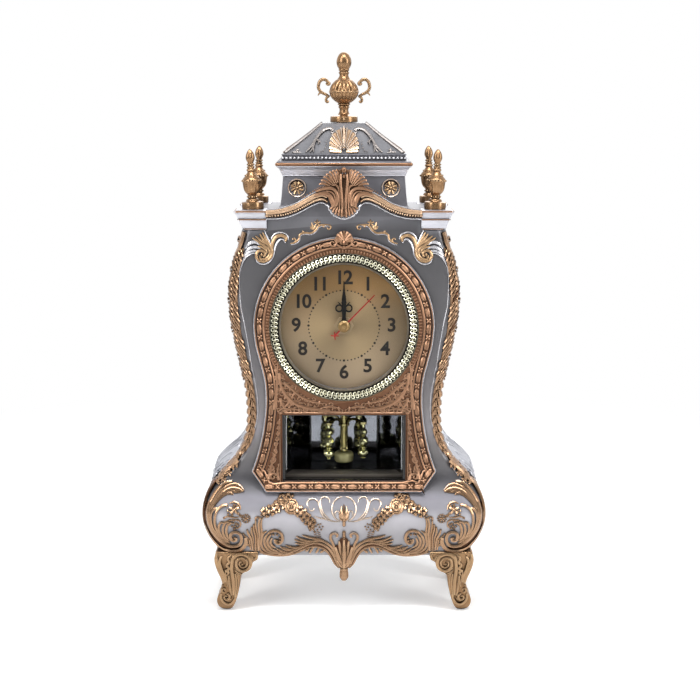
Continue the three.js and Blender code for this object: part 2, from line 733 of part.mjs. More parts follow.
function movement() {
  const half = movementSize / 2;
  const box = block([-half, movementFront, dialZ - half], [half, movementBack, dialZ + half]);
  const tray = block([-batteryLength / 2 - 1, batteryY - batteryRadius - gap, batteryZ - batteryRadius - gap],
    [batteryLength / 2 + 1, movementBack + 1, batteryZ + batteryRadius + gap]);
  const stem = faced([[0, movementFront + 1], [bushRadius, movementFront + 1], [bushRadius, nutFront],
    [hourPipeRadius, nutFront], [hourPipeRadius, hourFront], [minutePipeRadius, hourFront],
    [minutePipeRadius, minuteFront], [secondPinRadius, minuteFront], [secondPinRadius, secondFront],
    [0, secondFront]], 12);
  const pin = faced([[0, movementBack - 1], [0, movementBack + knobHeight - 1],
    [knobPin, movementBack + knobHeight - 1], [knobPin, movementBack - 1], [0, movementBack - 1]], 16,
  dialZ + knobOffset);
  place('clock_movement', join(box.subtract(tray), stem, pin), blackPlastic);
  place('movement_battery', lyingBattery(batteryY, batteryZ), batteryCoat);
  const nut = panel(disc(0, dialZ, bushRadius + 2.4, 6), nutFront, dialFront - gap)
    .subtract(panel(disc(0, dialZ, bushRadius + handHoleGap, 16), nutFront - 1, dialFront));
  place('movement_nut', nut, brightGold);
  const knobBack = movementBack + gap;
  place('set_knob', faced([[knobPin + handHoleGap, knobBack], [knobRadius, knobBack],
    [knobRadius, knobBack + knobHeight - 1], [knobRadius - 0.8, knobBack + knobHeight], [0, knobBack + knobHeight],
    [0, knobBack + knobHeight - 1], [knobPin + handHoleGap, knobBack + knobHeight - 1],
    [knobPin + handHoleGap, knobBack]], 12, dialZ + knobOffset), blackPlastic);
}

// Dial with a raised centre disc, hands and cap
function dialAndHands() {
  const bore = bushRadius + gap;
  place('dial_plate', faced([[bore, dialFront], [dialRadius, dialFront], [dialRadius, dialBack],
    [bore, dialBack], [bore, dialFront]], 36), dialCoat);
  const hand = (length, collar, bore, front, loop) => {
    const back = front + handThickness;
    const piece = (shape) => panel(shape, front, back);
    const shaft = rectangleShape(-0.55, 0.55, dialZ, dialZ + length * 0.62);
    const tip = new THREE.Shape([[-1.7, 0.5], [0, 1], [1.7, 0.5], [0, 0.6]].map(([x, t], i) => (
      new THREE.Vector2(x, dialZ + length * (i === 3 ? 0.36 : t)))));
    const ring = (x, z, radius) => piece(disc(x, z, radius, 10)).subtract(
      panel(disc(x, z, radius - 0.8, 8), front - 1, back + 1));
    const whole = join(piece(disc(0, dialZ, collar, 16)), piece(shaft), piece(tip),
      ring(-1.9, dialZ + loop, 2), ring(1.9, dialZ + loop, 2), ring(0, dialZ + loop + 2.6, 1.9));
    return whole.subtract(panel(disc(0, dialZ, bore, 12), front - 1, back + 1));
  };
  place('hour_hand', hand(hourLength, 3.6, hourPipeRadius + handHoleGap, hourFront, 7.4), handBlack);
  place('minute_hand', hand(minuteLength, 2.9, minutePipeRadius + handHoleGap, minuteFront, 10), handBlack);
  const front = secondFront;
  const back = front + handThickness;
  const needle = new THREE.Shape([[-0.45, -secondTail], [0.45, -secondTail], [0.2, secondLength], [-0.2, secondLength]]
    .map(([x, z]) => new THREE.Vector2(x, dialZ + z)));
  const cross = (turn) => panel(rectangleShape(-2.4, 2.4, -0.35, 0.35), front, back)
    .rotate([0, turn, 0]).translate([0, 0, dialZ - secondTail]);
  const second = join(panel(needle, front, back), panel(disc(0, dialZ, 2.1), front, back), cross(45), cross(-45))
    .subtract(panel(disc(0, dialZ, secondPinRadius + handHoleGap), front - 1, back + 1))
    .translate([0, 0, -dialZ]).rotate([0, secondAngle, 0]).translate([0, 0, dialZ]);
  place('second_hand', second, red);
  place('centre_cap', faced([[0, capBack], [capRadius, capBack], [capRadius * 0.8, capBack - capHeight * 0.7],
    [0, capBack - capHeight], [0, capBack]], 20), brightGold);
}

// Pendulum drive above the window, and the rotor that hangs from it
const driveZ = linerHighZ + gap;
const driveBack = rotorY + driveHalf;

function pendulumDrive() {
  const gearbox = block([-driveHalf, rotorY - driveHalf, driveZ], [driveHalf, driveBack, driveZ + driveHeight]);
  const trayHalf = batteryLength / 2 + 2;
  const trayBack = driveBack + 2 * batteryRadius + 3;
  const tray = block([-trayHalf, driveBack - 1, driveZ], [trayHalf, trayBack, driveZ + driveHeight]);
  const batteryAt = [driveBack + batteryRadius + 1.2, driveZ + batteryRadius + 1.5];
  const room = block([-trayHalf + 1, batteryAt[0] - batteryRadius - gap, batteryAt[1] - batteryRadius - gap],
    [trayHalf - 1, batteryAt[0] + batteryRadius + gap, driveZ + driveHeight + 1]);
  const socket = turned([[0, 0], [rotorColumnRadius + gap, 0], [rotorColumnRadius + gap, 5], [0, 5]], 16)
    .translate([0, rotorY, driveZ - 1]);
  place('pendulum_drive', join(gearbox, tray).subtract(room).subtract(socket), blackPlastic);
  place('pendulum_battery', lyingBattery(...batteryAt), batteryCoat);
}

function rotor() {
  const r = rotorColumnRadius;
  const foot = rotorNutZ + rotorNutHeight + gap;
  const hubZ = rotorArmZ - 1.5 * r;
  const column = turned([[0, foot], [1.13 * r, foot], [1.13 * r, foot + 0.6 * r], [r, foot + r],
    [r, hubZ], [1.48 * r, hubZ + 0.3 * r], [1.48 * r, hubZ + 0.8 * r], [r, hubZ + r],
    [r, rotorTopZ], [0, rotorTopZ]], 20);
  const arm = (turn) => {
    const reach = rotorArmRadius;
    const route = new THREE.CatmullRomCurve3([[0.7 * r, -1.1 * r], [2.2 * r, 0.65 * r], [0.64 * reach, 0.9 * r],
      [reach, 0.35 * r]].map(([x, z]) => new THREE.Vector3(x, 0, rotorArmZ + z)));
    const bar = solid(new THREE.ExtrudeGeometry(disc(0, 0, 0.39 * r, 5), {
      extrudePath: route, steps: 6, bevelEnabled: false }));
    const plateTop = rotorArmZ + 0.6 * r;
    const plate = turned([[0, rotorArmZ], [0.95 * r, rotorArmZ], [0.95 * r, plateTop], [0, plateTop]], 10)
      .translate([reach, 0, 0]);
    return join(bar, plate).rotate([0, 0, turn]);
  };
  const turns = [0, 1, 2, 3].map((n) => rotorAngle + 45 + 90 * n);
  place('rotor_column', join(column, ...turns.map(arm)), brightGold, [0, rotorY, 0]);
  const top = rotorArmZ - gap;
  const profile = [[0, 0], [0.69, 0.034], [0.97, 0.137], [0.76, 0.216], [0.38, 0.26], [0.69, 0.314], [0.34, 0.373],
    [1, 0.549], [0.34, 0.716], [0.66, 0.775], [0.34, 0.833], [0.55, 0.902], [0.55, 1], [0, 1]];
  const spindle = turned(profile.map(([x, t]) => (
    [x * rotorSpindleRadius, top - rotorSpindleHeight * (1 - t)])), 8);
  turns.forEach((turn, n) => {
    const angle = (turn * Math.PI) / 180;
    place(`rotor_spindle_${n + 1}`, spindle, brightGold,
      [rotorArmRadius * Math.cos(angle), rotorY + rotorArmRadius * Math.sin(angle), 0]);
  });
  const nut = [[0, 0], [0.71, 0], [1, 0.22], [1, 0.63], [0.78, 0.83], [0.58, 1], [0, 1]];
  place('rotor_nut', turned(nut.map(([x, t]) => [x * rotorNutRadius, t * rotorNutHeight]), 12),
    brightGold, [0, rotorY, rotorNutZ]);
}

compartment();
movement();
dialAndHands();
pendulumDrive();
rotor();

// Pediment: two arched halves that rise to scrolls behind the crest
function pediment() {
  const end = capitalInner - gap;
  const low = deckZ + 7.6;
  const top = deckTopZ + 1.2;
  const peak = top + pedimentRise + 1;
  const shape = new THREE.Shape();
  shape.moveTo(end, low);
  shape.lineTo(end, top);
  shape.bezierCurveTo(end - 14, top + 1.4, end - 20, top + 4, end - 28, top + 11.6);
  shape.bezierCurveTo(end - 33, top + 16, 8, peak - 2, 1.5, peak);
  shape.lineTo(1.5, peak - 6);
  shape.bezierCurveTo(5, peak - 9, 5.5, low + 4, 9.5, low + 8.8);
  shape.bezierCurveTo(14, low + 10.5, end - 28, low + 6.5, end - 21, low + 4.5);
  shape.bezierCurveTo(end - 14, low + 1.6, end - 8, low + 0.4, end, low);
  shape.closePath();
  const back = -flatFront - gap;
  const half = panel(shape, back - pedimentDepth, back, 1.2, 6);
  place('pediment_right', half, copper);
  place('pediment_left', mirrorX(half), copper);
}

// Crest: a fan of leaves with a rounded outline
function crestShell() {
  const back = -flatFront - 2 * gap - pedimentDepth;
  const base = deckZ + 7;
  const lobes = 7;
  const shape = new THREE.Shape();
  const steps = lobes * 4;
  for (let i = 0; i <= steps; i += 1) {
    const turn = (Math.PI * i) / steps;
    const lobe = 0.88 + 0.12 * Math.abs(Math.sin(turn * lobes));
    const x = crestHalf * Math.cos(turn) * lobe;
    const z = base + crestHeight * 0.58 + crestHeight * 0.42 * Math.sin(turn) * lobe;
    if (i === 0) shape.moveTo(x, z);
    else shape.lineTo(x, z);
  }
  shape.bezierCurveTo(-crestHalf, base + crestHeight * 0.3, -4, base + crestHeight * 0.2, 0, base);
  shape.bezierCurveTo(4, base + crestHeight * 0.2, crestHalf, base + crestHeight * 0.3,
    crestHalf * 0.88, base + crestHeight * 0.58);
  place('crest_shell', panel(shape, back - crestDepth, back, 0.8, 5), copper);
}

function rosettes() {
  const share = (rosetteZ - rosetteRadius - atticZ) / (atticHeight - atticLip);
  const seat = -atticDepthHalf + (atticFootHalf - atticHeadHalf) * share - gap;
  const rosette = faced([[0, seat], [rosetteRadius, seat], [rosetteRadius, seat - 1.2],
    [rosetteRadius - 1, seat - 1.8], [rosetteRadius - 1.6, seat - 0.9], [1.2, seat - 1.5], [0, seat - 2]],
  14, rosetteZ);
  place('rosette_left', rosette.translate([-rosetteX, 0, 0]), gold);
  place('rosette_right', rosette.translate([rosetteX, 0, 0]), gold);
}

// Corner trims: a band that wraps the front corner from the belly to the capital
function cornerTrims() {
  const lowZ = swellTopZ + 3;
  const highZ = caseTopZ - 2;
  const line = caseLine.filter((point) => point.y > lowZ && point.y < highZ);
  const inside = [[caseHalf(highZ) - trimWidth, highZ], ...line.slice().reverse()
    .map((point) => [point.x - trimWidth, point.y]), [caseHalf(lowZ) - trimWidth, lowZ]];
  const reach = bellyHalf + 5;
  const outline = [[reach, lowZ], [reach, highZ], ...inside];
  const band = new THREE.Shape(outline.map(([x, z]) => new THREE.Vector2(x, z)));
  const right = appliedTo(panel(band, -flatFront - 10, -flatFront + trimWidth - 1));
  place('corner_trim_right', right, copper);
  place('corner_trim_left', mirrorX(right), copper);
}

// Belly scrolls: a broad C along the outer edge that curls into a volute at the foot
function cornerScrolls() {
  const low = legHeight + 2.9;
  const high = swellTopZ - 0.5;
  const reach = bellyHalf + 5;
  const share = scrollVolute / 5;
  const voluteX = bellyHalf - 3.36 * scrollVolute;
  const voluteZ = legHeight + 2.16 * scrollVolute;
  const inside = [[1, 1.5], [0.8, 4.8], [0.55, 7.2], [0.3, 7.4], [0.14, 8.6]].map(([rise, width]) => {
    const z = low + (high - low) * rise;
    return [caseHalf(z) - width * share, z];
  });
  const points = [[reach, low], [reach, high], ...inside, [voluteX, low + 4.4 * share], [voluteX, low]];
  const outline = new THREE.Shape(points.map(([x, z]) => new THREE.Vector2(x, z)));
  const front = -flatFront - bellySwellFront - 5;
  const back = -flatFront + 6;
  const volute = panel(disc(voluteX, voluteZ, scrollVolute, 14), front, back);
  const right = appliedTo(join(panel(outline, front, back), volute));
  place('corner_scroll_right', right, gold);
  place('corner_scroll_left', mirrorX(right), gold);
}

// Apron: acanthus branches that meet in a palmette, with a drop under the middle
function apron() {
  const tip = legHeight - apronDrop;
  const branch = ([x, rise]) => [x * apronHalf, legHeight + rise * branchHeight];
  const right = [[0.06, -0.5], [0.128, -0.12], [0.23, 0.1], [0.3, 0.08], [0.45, 0.05], [0.66, 0],
    [0.88, 0.02], [1, 0.06]].map(branch);
  const above = [[1, 0.29], [0.8, 0.29], [0.62, 0.27], [0.44, 0.53], [0.3, 0.68], [0.17, 0.65],
    [0.1, 0.91]].map(branch);
  const half = [...right, ...above];
  const otherHalf = half.slice().reverse().map(([x, z]) => [-x, z]);
  const outline = [[0, tip], ...half, [0, legHeight + branchHeight], ...otherHalf];
  const shape = new THREE.Shape(outline.map(([x, z]) => new THREE.Vector2(x, z)));
  const front = -flatFront - bellySwellFront - 5;
  const back = frontY(legHeight) + 1.6;
  place('apron_front', appliedTo(panel(shape, front, back)), gold);
}

pediment();
crestShell();
rosettes();
cornerTrims();
cornerScrolls();
apron();

export default clock;
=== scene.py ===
# Baroque table clock: the looks of every piece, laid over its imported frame
import json
import math
import bpy
import bmesh
from mathutils import Matrix, Vector

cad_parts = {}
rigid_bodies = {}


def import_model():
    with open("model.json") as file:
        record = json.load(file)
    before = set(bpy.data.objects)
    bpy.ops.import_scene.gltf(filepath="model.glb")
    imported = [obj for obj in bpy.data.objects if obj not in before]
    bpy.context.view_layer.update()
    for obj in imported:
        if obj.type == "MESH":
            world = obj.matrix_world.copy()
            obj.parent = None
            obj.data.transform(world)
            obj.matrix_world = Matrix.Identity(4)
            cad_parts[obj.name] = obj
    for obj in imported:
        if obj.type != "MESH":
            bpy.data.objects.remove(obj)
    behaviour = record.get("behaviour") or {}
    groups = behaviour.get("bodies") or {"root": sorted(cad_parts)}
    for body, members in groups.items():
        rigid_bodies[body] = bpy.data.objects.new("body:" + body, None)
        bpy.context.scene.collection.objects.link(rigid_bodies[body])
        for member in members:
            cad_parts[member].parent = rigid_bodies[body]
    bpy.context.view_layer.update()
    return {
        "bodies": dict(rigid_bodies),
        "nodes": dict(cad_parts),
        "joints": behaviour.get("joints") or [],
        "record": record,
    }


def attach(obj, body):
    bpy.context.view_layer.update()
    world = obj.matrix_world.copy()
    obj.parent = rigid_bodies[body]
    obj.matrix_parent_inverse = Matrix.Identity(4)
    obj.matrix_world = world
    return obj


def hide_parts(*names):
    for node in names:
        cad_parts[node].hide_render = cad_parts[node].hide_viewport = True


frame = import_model()
print("frame loaded")

mm = 0.001
scene = bpy.context.scene
scene.view_settings.view_transform = 'Standard'


# camera, floor and lamps

cameraSet = {"target": (0, 0, 0.163), "distance": 0.9, "elevation": 9, "lens": 77.55,
             "shift": (0.0086, -0.0293)}


def makeCamera(values):
    rise = math.radians(values["elevation"])
    target = Vector(values["target"])
    place = target + values["distance"] * Vector((0, -math.cos(rise), math.sin(rise)))
    data = bpy.data.cameras.new("studioCamera")
    data.lens = values["lens"]
    data.sensor_width = 36
    data.shift_x, data.shift_y = values["shift"]
    camera = bpy.data.objects.new("studioCamera", data)
    camera.location = place
    camera.rotation_euler = (target - place).to_track_quat('-Z', 'Y').to_euler()
    scene.collection.objects.link(camera)
    scene.camera = camera


lampSet = {
    "key": {"place": (-0.85, -0.75, 0.75), "size": (0.35, 1.0), "power": 8},
    "side": {"place": (0.9, -0.65, 0.6), "size": (0.3, 1.0), "power": 7},
    "top": {"place": (0.0, -0.45, 1.2), "size": (0.8, 0.22), "power": 10},
    "rear": {"place": (0.2, 1.1, 0.9), "size": (0.8, 0.8), "power": 6},
}


def makeLamps(values):
    for name, lamp in values.items():
        data = bpy.data.lights.new(name + "Lamp", 'AREA')
        data.shape = 'RECTANGLE'
        data.size, data.size_y = lamp["size"]
        data.energy = lamp["power"]
        light = bpy.data.objects.new(name + "Lamp", data)
        light.location = lamp["place"]
        light.rotation_euler = (Vector((0, 0, 0.16)) - light.location).to_track_quat('-Z', 'Y').to_euler()
        scene.collection.objects.link(light)


def addNode(tree, kind, inputs=None, **values):
    node = tree.nodes.new(kind)
    for key, value in values.items():
        if hasattr(node, key):
            setattr(node, key, value)
    for key, value in (inputs or {}).items():
        node.inputs[key].default_value = value
    return node


def blankMaterial(name):
    material = bpy.data.materials.new(name)
    material.use_nodes = True
    tree = material.node_tree
    tree.nodes.clear()
    return material, tree, addNode(tree, "ShaderNodeOutputMaterial")


roomSet = {"level": 0.34, "shown": 1.0, "frontShare": 0.14}


def makeWorld(level, shown, frontShare):
    # white where the camera looks past the clock; in gloss the room before it is dimmer than the one behind
    world = bpy.data.worlds.new("studioRoom")
    scene.world = world
    world.use_nodes = True
    tree = world.node_tree
    tree.nodes.clear()
    link = tree.links.new
    out = addNode(tree, "ShaderNodeOutputWorld")
    plain = addNode(tree, "ShaderNodeBackground", {"Color": (0.97, 0.98, 1, 1), "Strength": level})
    white = addNode(tree, "ShaderNodeBackground", {"Color": (1, 1, 1, 1), "Strength": shown})
    room = addNode(tree, "ShaderNodeBackground", {"Color": (0.97, 0.98, 1, 1)})
    aim = addNode(tree, "ShaderNodeTexCoord")
    split = addNode(tree, "ShaderNodeSeparateXYZ")
    depth = addNode(tree, "ShaderNodeMapRange",
                    {"From Min": -0.45, "From Max": 0.35, "To Min": frontShare * shown, "To Max": shown},
                    interpolation_type='SMOOTHSTEP')
    path = addNode(tree, "ShaderNodeLightPath")
    mirrored = addNode(tree, "ShaderNodeMath", operation='MAXIMUM')
    first = addNode(tree, "ShaderNodeMixShader")
    second = addNode(tree, "ShaderNodeMixShader")
    link(aim.outputs["Generated"], split.inputs[0])
    link(split.outputs["Y"], depth.inputs["Value"])
    link(depth.outputs[0], room.inputs["Strength"])
    link(path.outputs["Is Glossy Ray"], mirrored.inputs[0])
    link(path.outputs["Is Transmission Ray"], mirrored.inputs[1])
    link(mirrored.outputs[0], first.inputs[0])
    link(plain.outputs[0], first.inputs[1])
    link(room.outputs[0], first.inputs[2])
    link(path.outputs["Is Camera Ray"], second.inputs[0])
    link(first.outputs[0], second.inputs[1])
    link(white.outputs[0], second.inputs[2])
    link(second.outputs[0], out.inputs[0])


def makeFloor():
    bpy.ops.object.select_all(action='DESELECT')
    bpy.ops.mesh.primitive_circle_add(vertices=64, radius=9, fill_type='NGON')
    floor = bpy.context.object
    floor.name = "studioFloor"
    material, tree, out = blankMaterial("paleFloor")
    matt = addNode(tree, "ShaderNodeBsdfDiffuse", {"Color": (0.88, 0.88, 0.88, 1)})
    lift = addNode(tree, "ShaderNodeEmission")
    both = addNode(tree, "ShaderNodeAddShader")
    white = addNode(tree, "ShaderNodeEmission", {"Strength": 1})
    place = addNode(tree, "ShaderNodeTexCoord")
    reach = addNode(tree, "ShaderNodeVectorMath", operation='LENGTH')
    fade = addNode(tree, "ShaderNodeMapRange", {"From Min": 0.16, "From Max": 0.62},
                   interpolation_type='SMOOTHSTEP')
    path = addNode(tree, "ShaderNodeLightPath")
    seen = addNode(tree, "ShaderNodeMath", operation='MULTIPLY')
    mix = addNode(tree, "ShaderNodeMixShader")
    link = tree.links.new
    scaled = addNode(tree, "ShaderNodeMath", {1: 0.3}, operation='MULTIPLY')
    link(path.outputs["Is Camera Ray"], scaled.inputs[0])
    link(scaled.outputs[0], lift.inputs["Strength"])
    link(matt.outputs[0], both.inputs[0])
    link(lift.outputs[0], both.inputs[1])
    link(place.outputs["Object"], reach.inputs[0])
    link(reach.outputs["Value"], fade.inputs["Value"])
    link(fade.outputs[0], seen.inputs[0])
    link(path.outputs["Is Camera Ray"], seen.inputs[1])
    link(seen.outputs[0], mix.inputs[0])
    link(both.outputs[0], mix.inputs[1])
    link(white.outputs[0], mix.inputs[2])
    link(mix.outputs[0], out.inputs[0])
    floor.data.materials.append(material)


makeCamera(cameraSet)
makeLamps(lampSet)
makeWorld(**roomSet)
makeFloor()
print("studio ready")


# finishes

def tone(red, green, blue):
    def linear(value):
        share = value / 255
        return share / 12.92 if share <= 0.04045 else ((share + 0.055) / 1.055) ** 2.4
    return (linear(red), linear(green), linear(blue), 1)


def newGroup(name, inputs, outputs):
    group = bpy.data.node_groups.new(name, "ShaderNodeTree")
    for label, kind, value in inputs:
        socket = group.interface.new_socket(name=label, in_out='INPUT', socket_type=kind)
        socket.default_value = value
    for label, kind in outputs:
        group.interface.new_socket(name=label, in_out='OUTPUT', socket_type=kind)
    return group, addNode(group, "NodeGroupInput"), addNode(group, "NodeGroupOutput")


def makeCastTone():
    # cast paint with painted light: painted shade darkens the hollows, a painted highlight lightens the
    # ridges, and the tone is a little mottled
    group, given, out = newGroup(
        "shadeHighlightTone",
        [("Base", "NodeSocketColor", (1, 1, 1, 1)), ("Hollow", "NodeSocketColor", (0, 0, 0, 1)),
         ("Ridge", "NodeSocketColor", (1, 1, 1, 1)), ("Reach", "NodeSocketFloat", 0.002),
         ("Depth", "NodeSocketFloat", 1.0), ("HighlightAmount", "NodeSocketFloat", 0.5),
         ("Mottle", "NodeSocketFloat", 1.0)],
        [("Color", "NodeSocketColor"), ("Shade", "NodeSocketFloat")])
    link = group.links.new
    # ambient occlusion marks the hollows that get the painted shade
    shade = addNode(group, "ShaderNodeAmbientOcclusion", samples=5)
    dark = addNode(group, "ShaderNodeMapRange", {"From Min": 0.86, "From Max": 0.34},
                   interpolation_type='SMOOTHSTEP')
    amount = addNode(group, "ShaderNodeMath", operation='MULTIPLY')
    place = addNode(group, "ShaderNodeTexCoord")
    mottle = addNode(group, "ShaderNodeTexNoise", {"Scale": 130, "Detail": 3})
    spread = addNode(group, "ShaderNodeMapRange",
                     {"From Min": 0.3, "From Max": 0.7, "To Min": 0.82, "To Max": 1.12})
    tinted = addNode(group, "ShaderNodeMix", data_type='RGBA', blend_type='MULTIPLY')
    shape = addNode(group, "ShaderNodeNewGeometry")
    # pointiness marks the ridges that get the painted highlight
    ridge = addNode(group, "ShaderNodeMapRange", {"From Min": 0.5, "From Max": 0.62})
    highlightMask = addNode(group, "ShaderNodeMath", operation='MULTIPLY')
    light = addNode(group, "ShaderNodeMix", data_type='RGBA')
    deep = addNode(group, "ShaderNodeMix", data_type='RGBA')
    link(given.outputs["Reach"], shade.inputs["Distance"])
    link(shade.outputs["AO"], dark.inputs["Value"])
    link(dark.outputs[0], amount.inputs[0])
    link(given.outputs["Depth"], amount.inputs[1])
    link(place.outputs["Object"], mottle.inputs["Vector"])
    link(mottle.outputs[0], spread.inputs["Value"])
    link(given.outputs["Mottle"], tinted.inputs["Factor"])
    link(given.outputs["Base"], tinted.inputs["A"])
    link(spread.outputs[0], tinted.inputs["B"])
    link(shape.outputs["Pointiness"], ridge.inputs["Value"])
    link(ridge.outputs[0], highlightMask.inputs[0])
    link(given.outputs["HighlightAmount"], highlightMask.inputs[1])
    link(highlightMask.outputs[0], light.inputs["Factor"])
    link(tinted.outputs["Result"], light.inputs["A"])
    link(given.outputs["Ridge"], light.inputs["B"])
    link(amount.outputs[0], deep.inputs["Factor"])
    link(light.outputs["Result"], deep.inputs["A"])
    link(given.outputs["Hollow"], deep.inputs["B"])
    link(deep.outputs["Result"], out.inputs["Color"])
    link(amount.outputs[0], out.inputs["Shade"])
    return group


def makeSprayGrain():
    # orange-peel of a sprayed coat: a small change of roughness and of height
    group, given, out = newGroup(
        "sprayGrain",
        [("Scale", "NodeSocketFloat", 900.0), ("Roughness", "NodeSocketFloat", 0.4),
         ("Change", "NodeSocketFloat", 0.08)],
        [("Roughness", "NodeSocketFloat"), ("Height", "NodeSocketFloat")])
    link = group.links.new
    place = addNode(group, "ShaderNodeTexCoord")
    fine = addNode(group, "ShaderNodeTexNoise", {"Detail": 2})
    wide = addNode(group, "ShaderNodeTexNoise", {"Scale": 45, "Detail": 4})
    centre = addNode(group, "ShaderNodeMath", {1: 0.5}, operation='SUBTRACT')
    spread = addNode(group, "ShaderNodeMath", operation='MULTIPLY')
    total = addNode(group, "ShaderNodeMath", operation='ADD')
    link(place.outputs["Object"], fine.inputs["Vector"])
    link(given.outputs["Scale"], fine.inputs["Scale"])
    link(place.outputs["Object"], wide.inputs["Vector"])
    link(wide.outputs[0], centre.inputs[0])
    link(centre.outputs[0], spread.inputs[0])
    link(given.outputs["Change"], spread.inputs[1])
    link(spread.outputs[0], total.inputs[0])
    link(given.outputs["Roughness"], total.inputs[1])
    link(total.outputs[0], out.inputs["Roughness"])
    link(fine.outputs[0], out.inputs["Height"])
    return group


shadeHighlightTone = makeCastTone()
sprayGrain = makeSprayGrain()


def startMaterial(name, metallic):
    material, tree, out = blankMaterial(name)
    coat = addNode(tree, "ShaderNodeBsdfPrincipled", {"Metallic": metallic})
    tree.links.new(coat.outputs[0], out.inputs["Surface"])
    return material, tree, coat


def addGrain(tree, coat, roughness, change, scale, bumpStrength):
    grain = addNode(tree, "ShaderNodeGroup", {"Scale": scale, "Roughness": roughness, "Change": change},
                    node_tree=sprayGrain)
    bump = addNode(tree, "ShaderNodeBump", {"Strength": bumpStrength, "Distance": 0.0002})
    tree.links.new(grain.outputs["Roughness"], coat.inputs["Roughness"])
    tree.links.new(grain.outputs["Height"], bump.inputs["Height"])
    tree.links.new(bump.outputs[0], coat.inputs["Normal"])


# a finish whose colour carries painted shade in the hollows and painted highlights on the ridges
def castFinish(name, base, hollow, ridge, metallic, roughness, reach=0.002, depth=0.85, highlightAmount=0.6):
    material, tree, coat = startMaterial(name, metallic)
    cast = addNode(tree, "ShaderNodeGroup", {"Base": tone(*base), "Hollow": tone(*hollow),
                                             "Ridge": tone(*ridge), "Reach": reach, "Depth": depth,
                                             "HighlightAmount": highlightAmount}, node_tree=shadeHighlightTone)
    tree.links.new(cast.outputs["Color"], coat.inputs["Base Color"])
    addGrain(tree, coat, roughness, 0.12, 1400, 0.12)
    return material


def caseLacquer(name, bands, metallic, roughness):
    # satin silver lacquer whose tone runs with the height on the case as a painted reflection, pale on the
    # belly and dark grey on the upper front; its hollows get painted shade and its ridges a painted
    # highlight
    material, tree, coat = startMaterial(name, metallic)
    link = tree.links.new
    place = addNode(tree, "ShaderNodeTexCoord")
    split = addNode(tree, "ShaderNodeSeparateXYZ")
    height = addNode(tree, "ShaderNodeMapRange", {"From Max": 0.3})
    ramp = addNode(tree, "ShaderNodeValToRGB")
    points = ramp.color_ramp.elements
    for n, (level, colour) in enumerate(bands):
        spot = points[n] if n < 2 else points.new(level / 300)
        spot.position = level / 300
        spot.color = tone(*colour)
    cast = addNode(tree, "ShaderNodeGroup", {"Hollow": tone(38, 36, 40), "Ridge": tone(214, 214, 222),
                                             "Reach": 0.0025, "Depth": 0.7, "HighlightAmount": 0.25, "Mottle": 0.2},
                   node_tree=shadeHighlightTone)
    link(place.outputs["Object"], split.inputs[0])
    link(split.outputs["Z"], height.inputs["Value"])
    link(height.outputs[0], ramp.inputs[0])
    link(ramp.outputs[0], cast.inputs["Base"])
    link(cast.outputs["Color"], coat.inputs["Base Color"])
    addGrain(tree, coat, roughness, 0.1, 1100, 0.08)
    return material


def plainFinish(name, colour, dull, metallic, roughness, change=0.08, bump=0.05, scale=900):
    # plastic and polished parts: two near tones and a fine grain
    material, tree, coat = startMaterial(name, metallic)
    link = tree.links.new
    place = addNode(tree, "ShaderNodeTexCoord")
    noise = addNode(tree, "ShaderNodeTexNoise", {"Scale": 60, "Detail": 5})
    mix = addNode(tree, "ShaderNodeMix", {"A": tone(*dull), "B": tone(*colour)}, data_type='RGBA')
    link(place.outputs["Object"], noise.inputs["Vector"])
    link(noise.outputs[0], mix.inputs["Factor"])
    link(mix.outputs["Result"], coat.inputs["Base Color"])
    addGrain(tree, coat, roughness, change, scale, bump)
    return material


def glassFinish(name, colour, roughness):
    # thin clear sheet: it lets the dial and the rotor show and keeps a slight gloss
    material, tree, out = blankMaterial(name)
    through = addNode(tree, "ShaderNodeBsdfTransparent", {"Color": (0.97, 0.975, 0.97, 1)})
    gloss = addNode(tree, "ShaderNodeBsdfPrincipled", {"Base Color": tone(*colour),
                                                       "Roughness": roughness, "Transmission Weight": 1,
                                                       "IOR": 1.03})
    mix = addNode(tree, "ShaderNodeMixShader", {0: 0.12})
    tree.links.new(through.outputs[0], mix.inputs[1])
    tree.links.new(gloss.outputs[0], mix.inputs[2])
    tree.links.new(mix.outputs[0], out.inputs["Surface"])
    return material


# heights on the case and their lacquer tones: a painted reflection, pale where the belly faces up, dark grey
# on the upright upper front
caseReflectionBands = [
    (35, (148, 147, 150)), (48, (158, 156, 160)), (58, (182, 180, 185)), (66, (168, 166, 174)),
    (70, (146, 144, 152)), (74, (116, 115, 119)), (80, (96, 95, 98)), (90, (102, 100, 101)),
    (100, (122, 118, 118)), (110, (142, 139, 143)), (122, (132, 128, 129)), (140, (118, 115, 117)),
    (160, (106, 104, 106)), (180, (98, 97, 99)), (205, (92, 91, 93)), (232, (88, 87, 90))]
caseSilver = caseLacquer("caseSilver", caseReflectionBands, 0.45, 0.34)
smokedMirror = plainFinish("smokedMirror", (142, 144, 152), (132, 134, 142), 1, 0.05, 0.02, 0.01)
capGold = castFinish("capGold", (226, 200, 146), (120, 84, 40), (250, 236, 200), 0.5, 0.22, highlightAmount=0.2)
deckSilver = castFinish("deckSilver", (100, 99, 104), (30, 29, 32), (168, 168, 176), 0.45, 0.38, highlightAmount=0.3)
coveSilver = castFinish("coveSilver", (196, 197, 206), (70, 68, 74), (232, 232, 238), 0.5, 0.34, highlightAmount=0.4)
roofSilver = castFinish("roofSilver", (128, 128, 132), (48, 46, 50), (206, 206, 212), 0.55, 0.34, highlightAmount=0.2)
reliefSilver = castFinish("reliefSilver", (186, 184, 188), (84, 78, 82), (232, 232, 236), 0.65, 0.26,
                          highlightAmount=0.4)
paleGold = castFinish("paleGold", (190, 166, 146), (84, 62, 52), (240, 226, 210), 0.7, 0.28, highlightAmount=0.4)
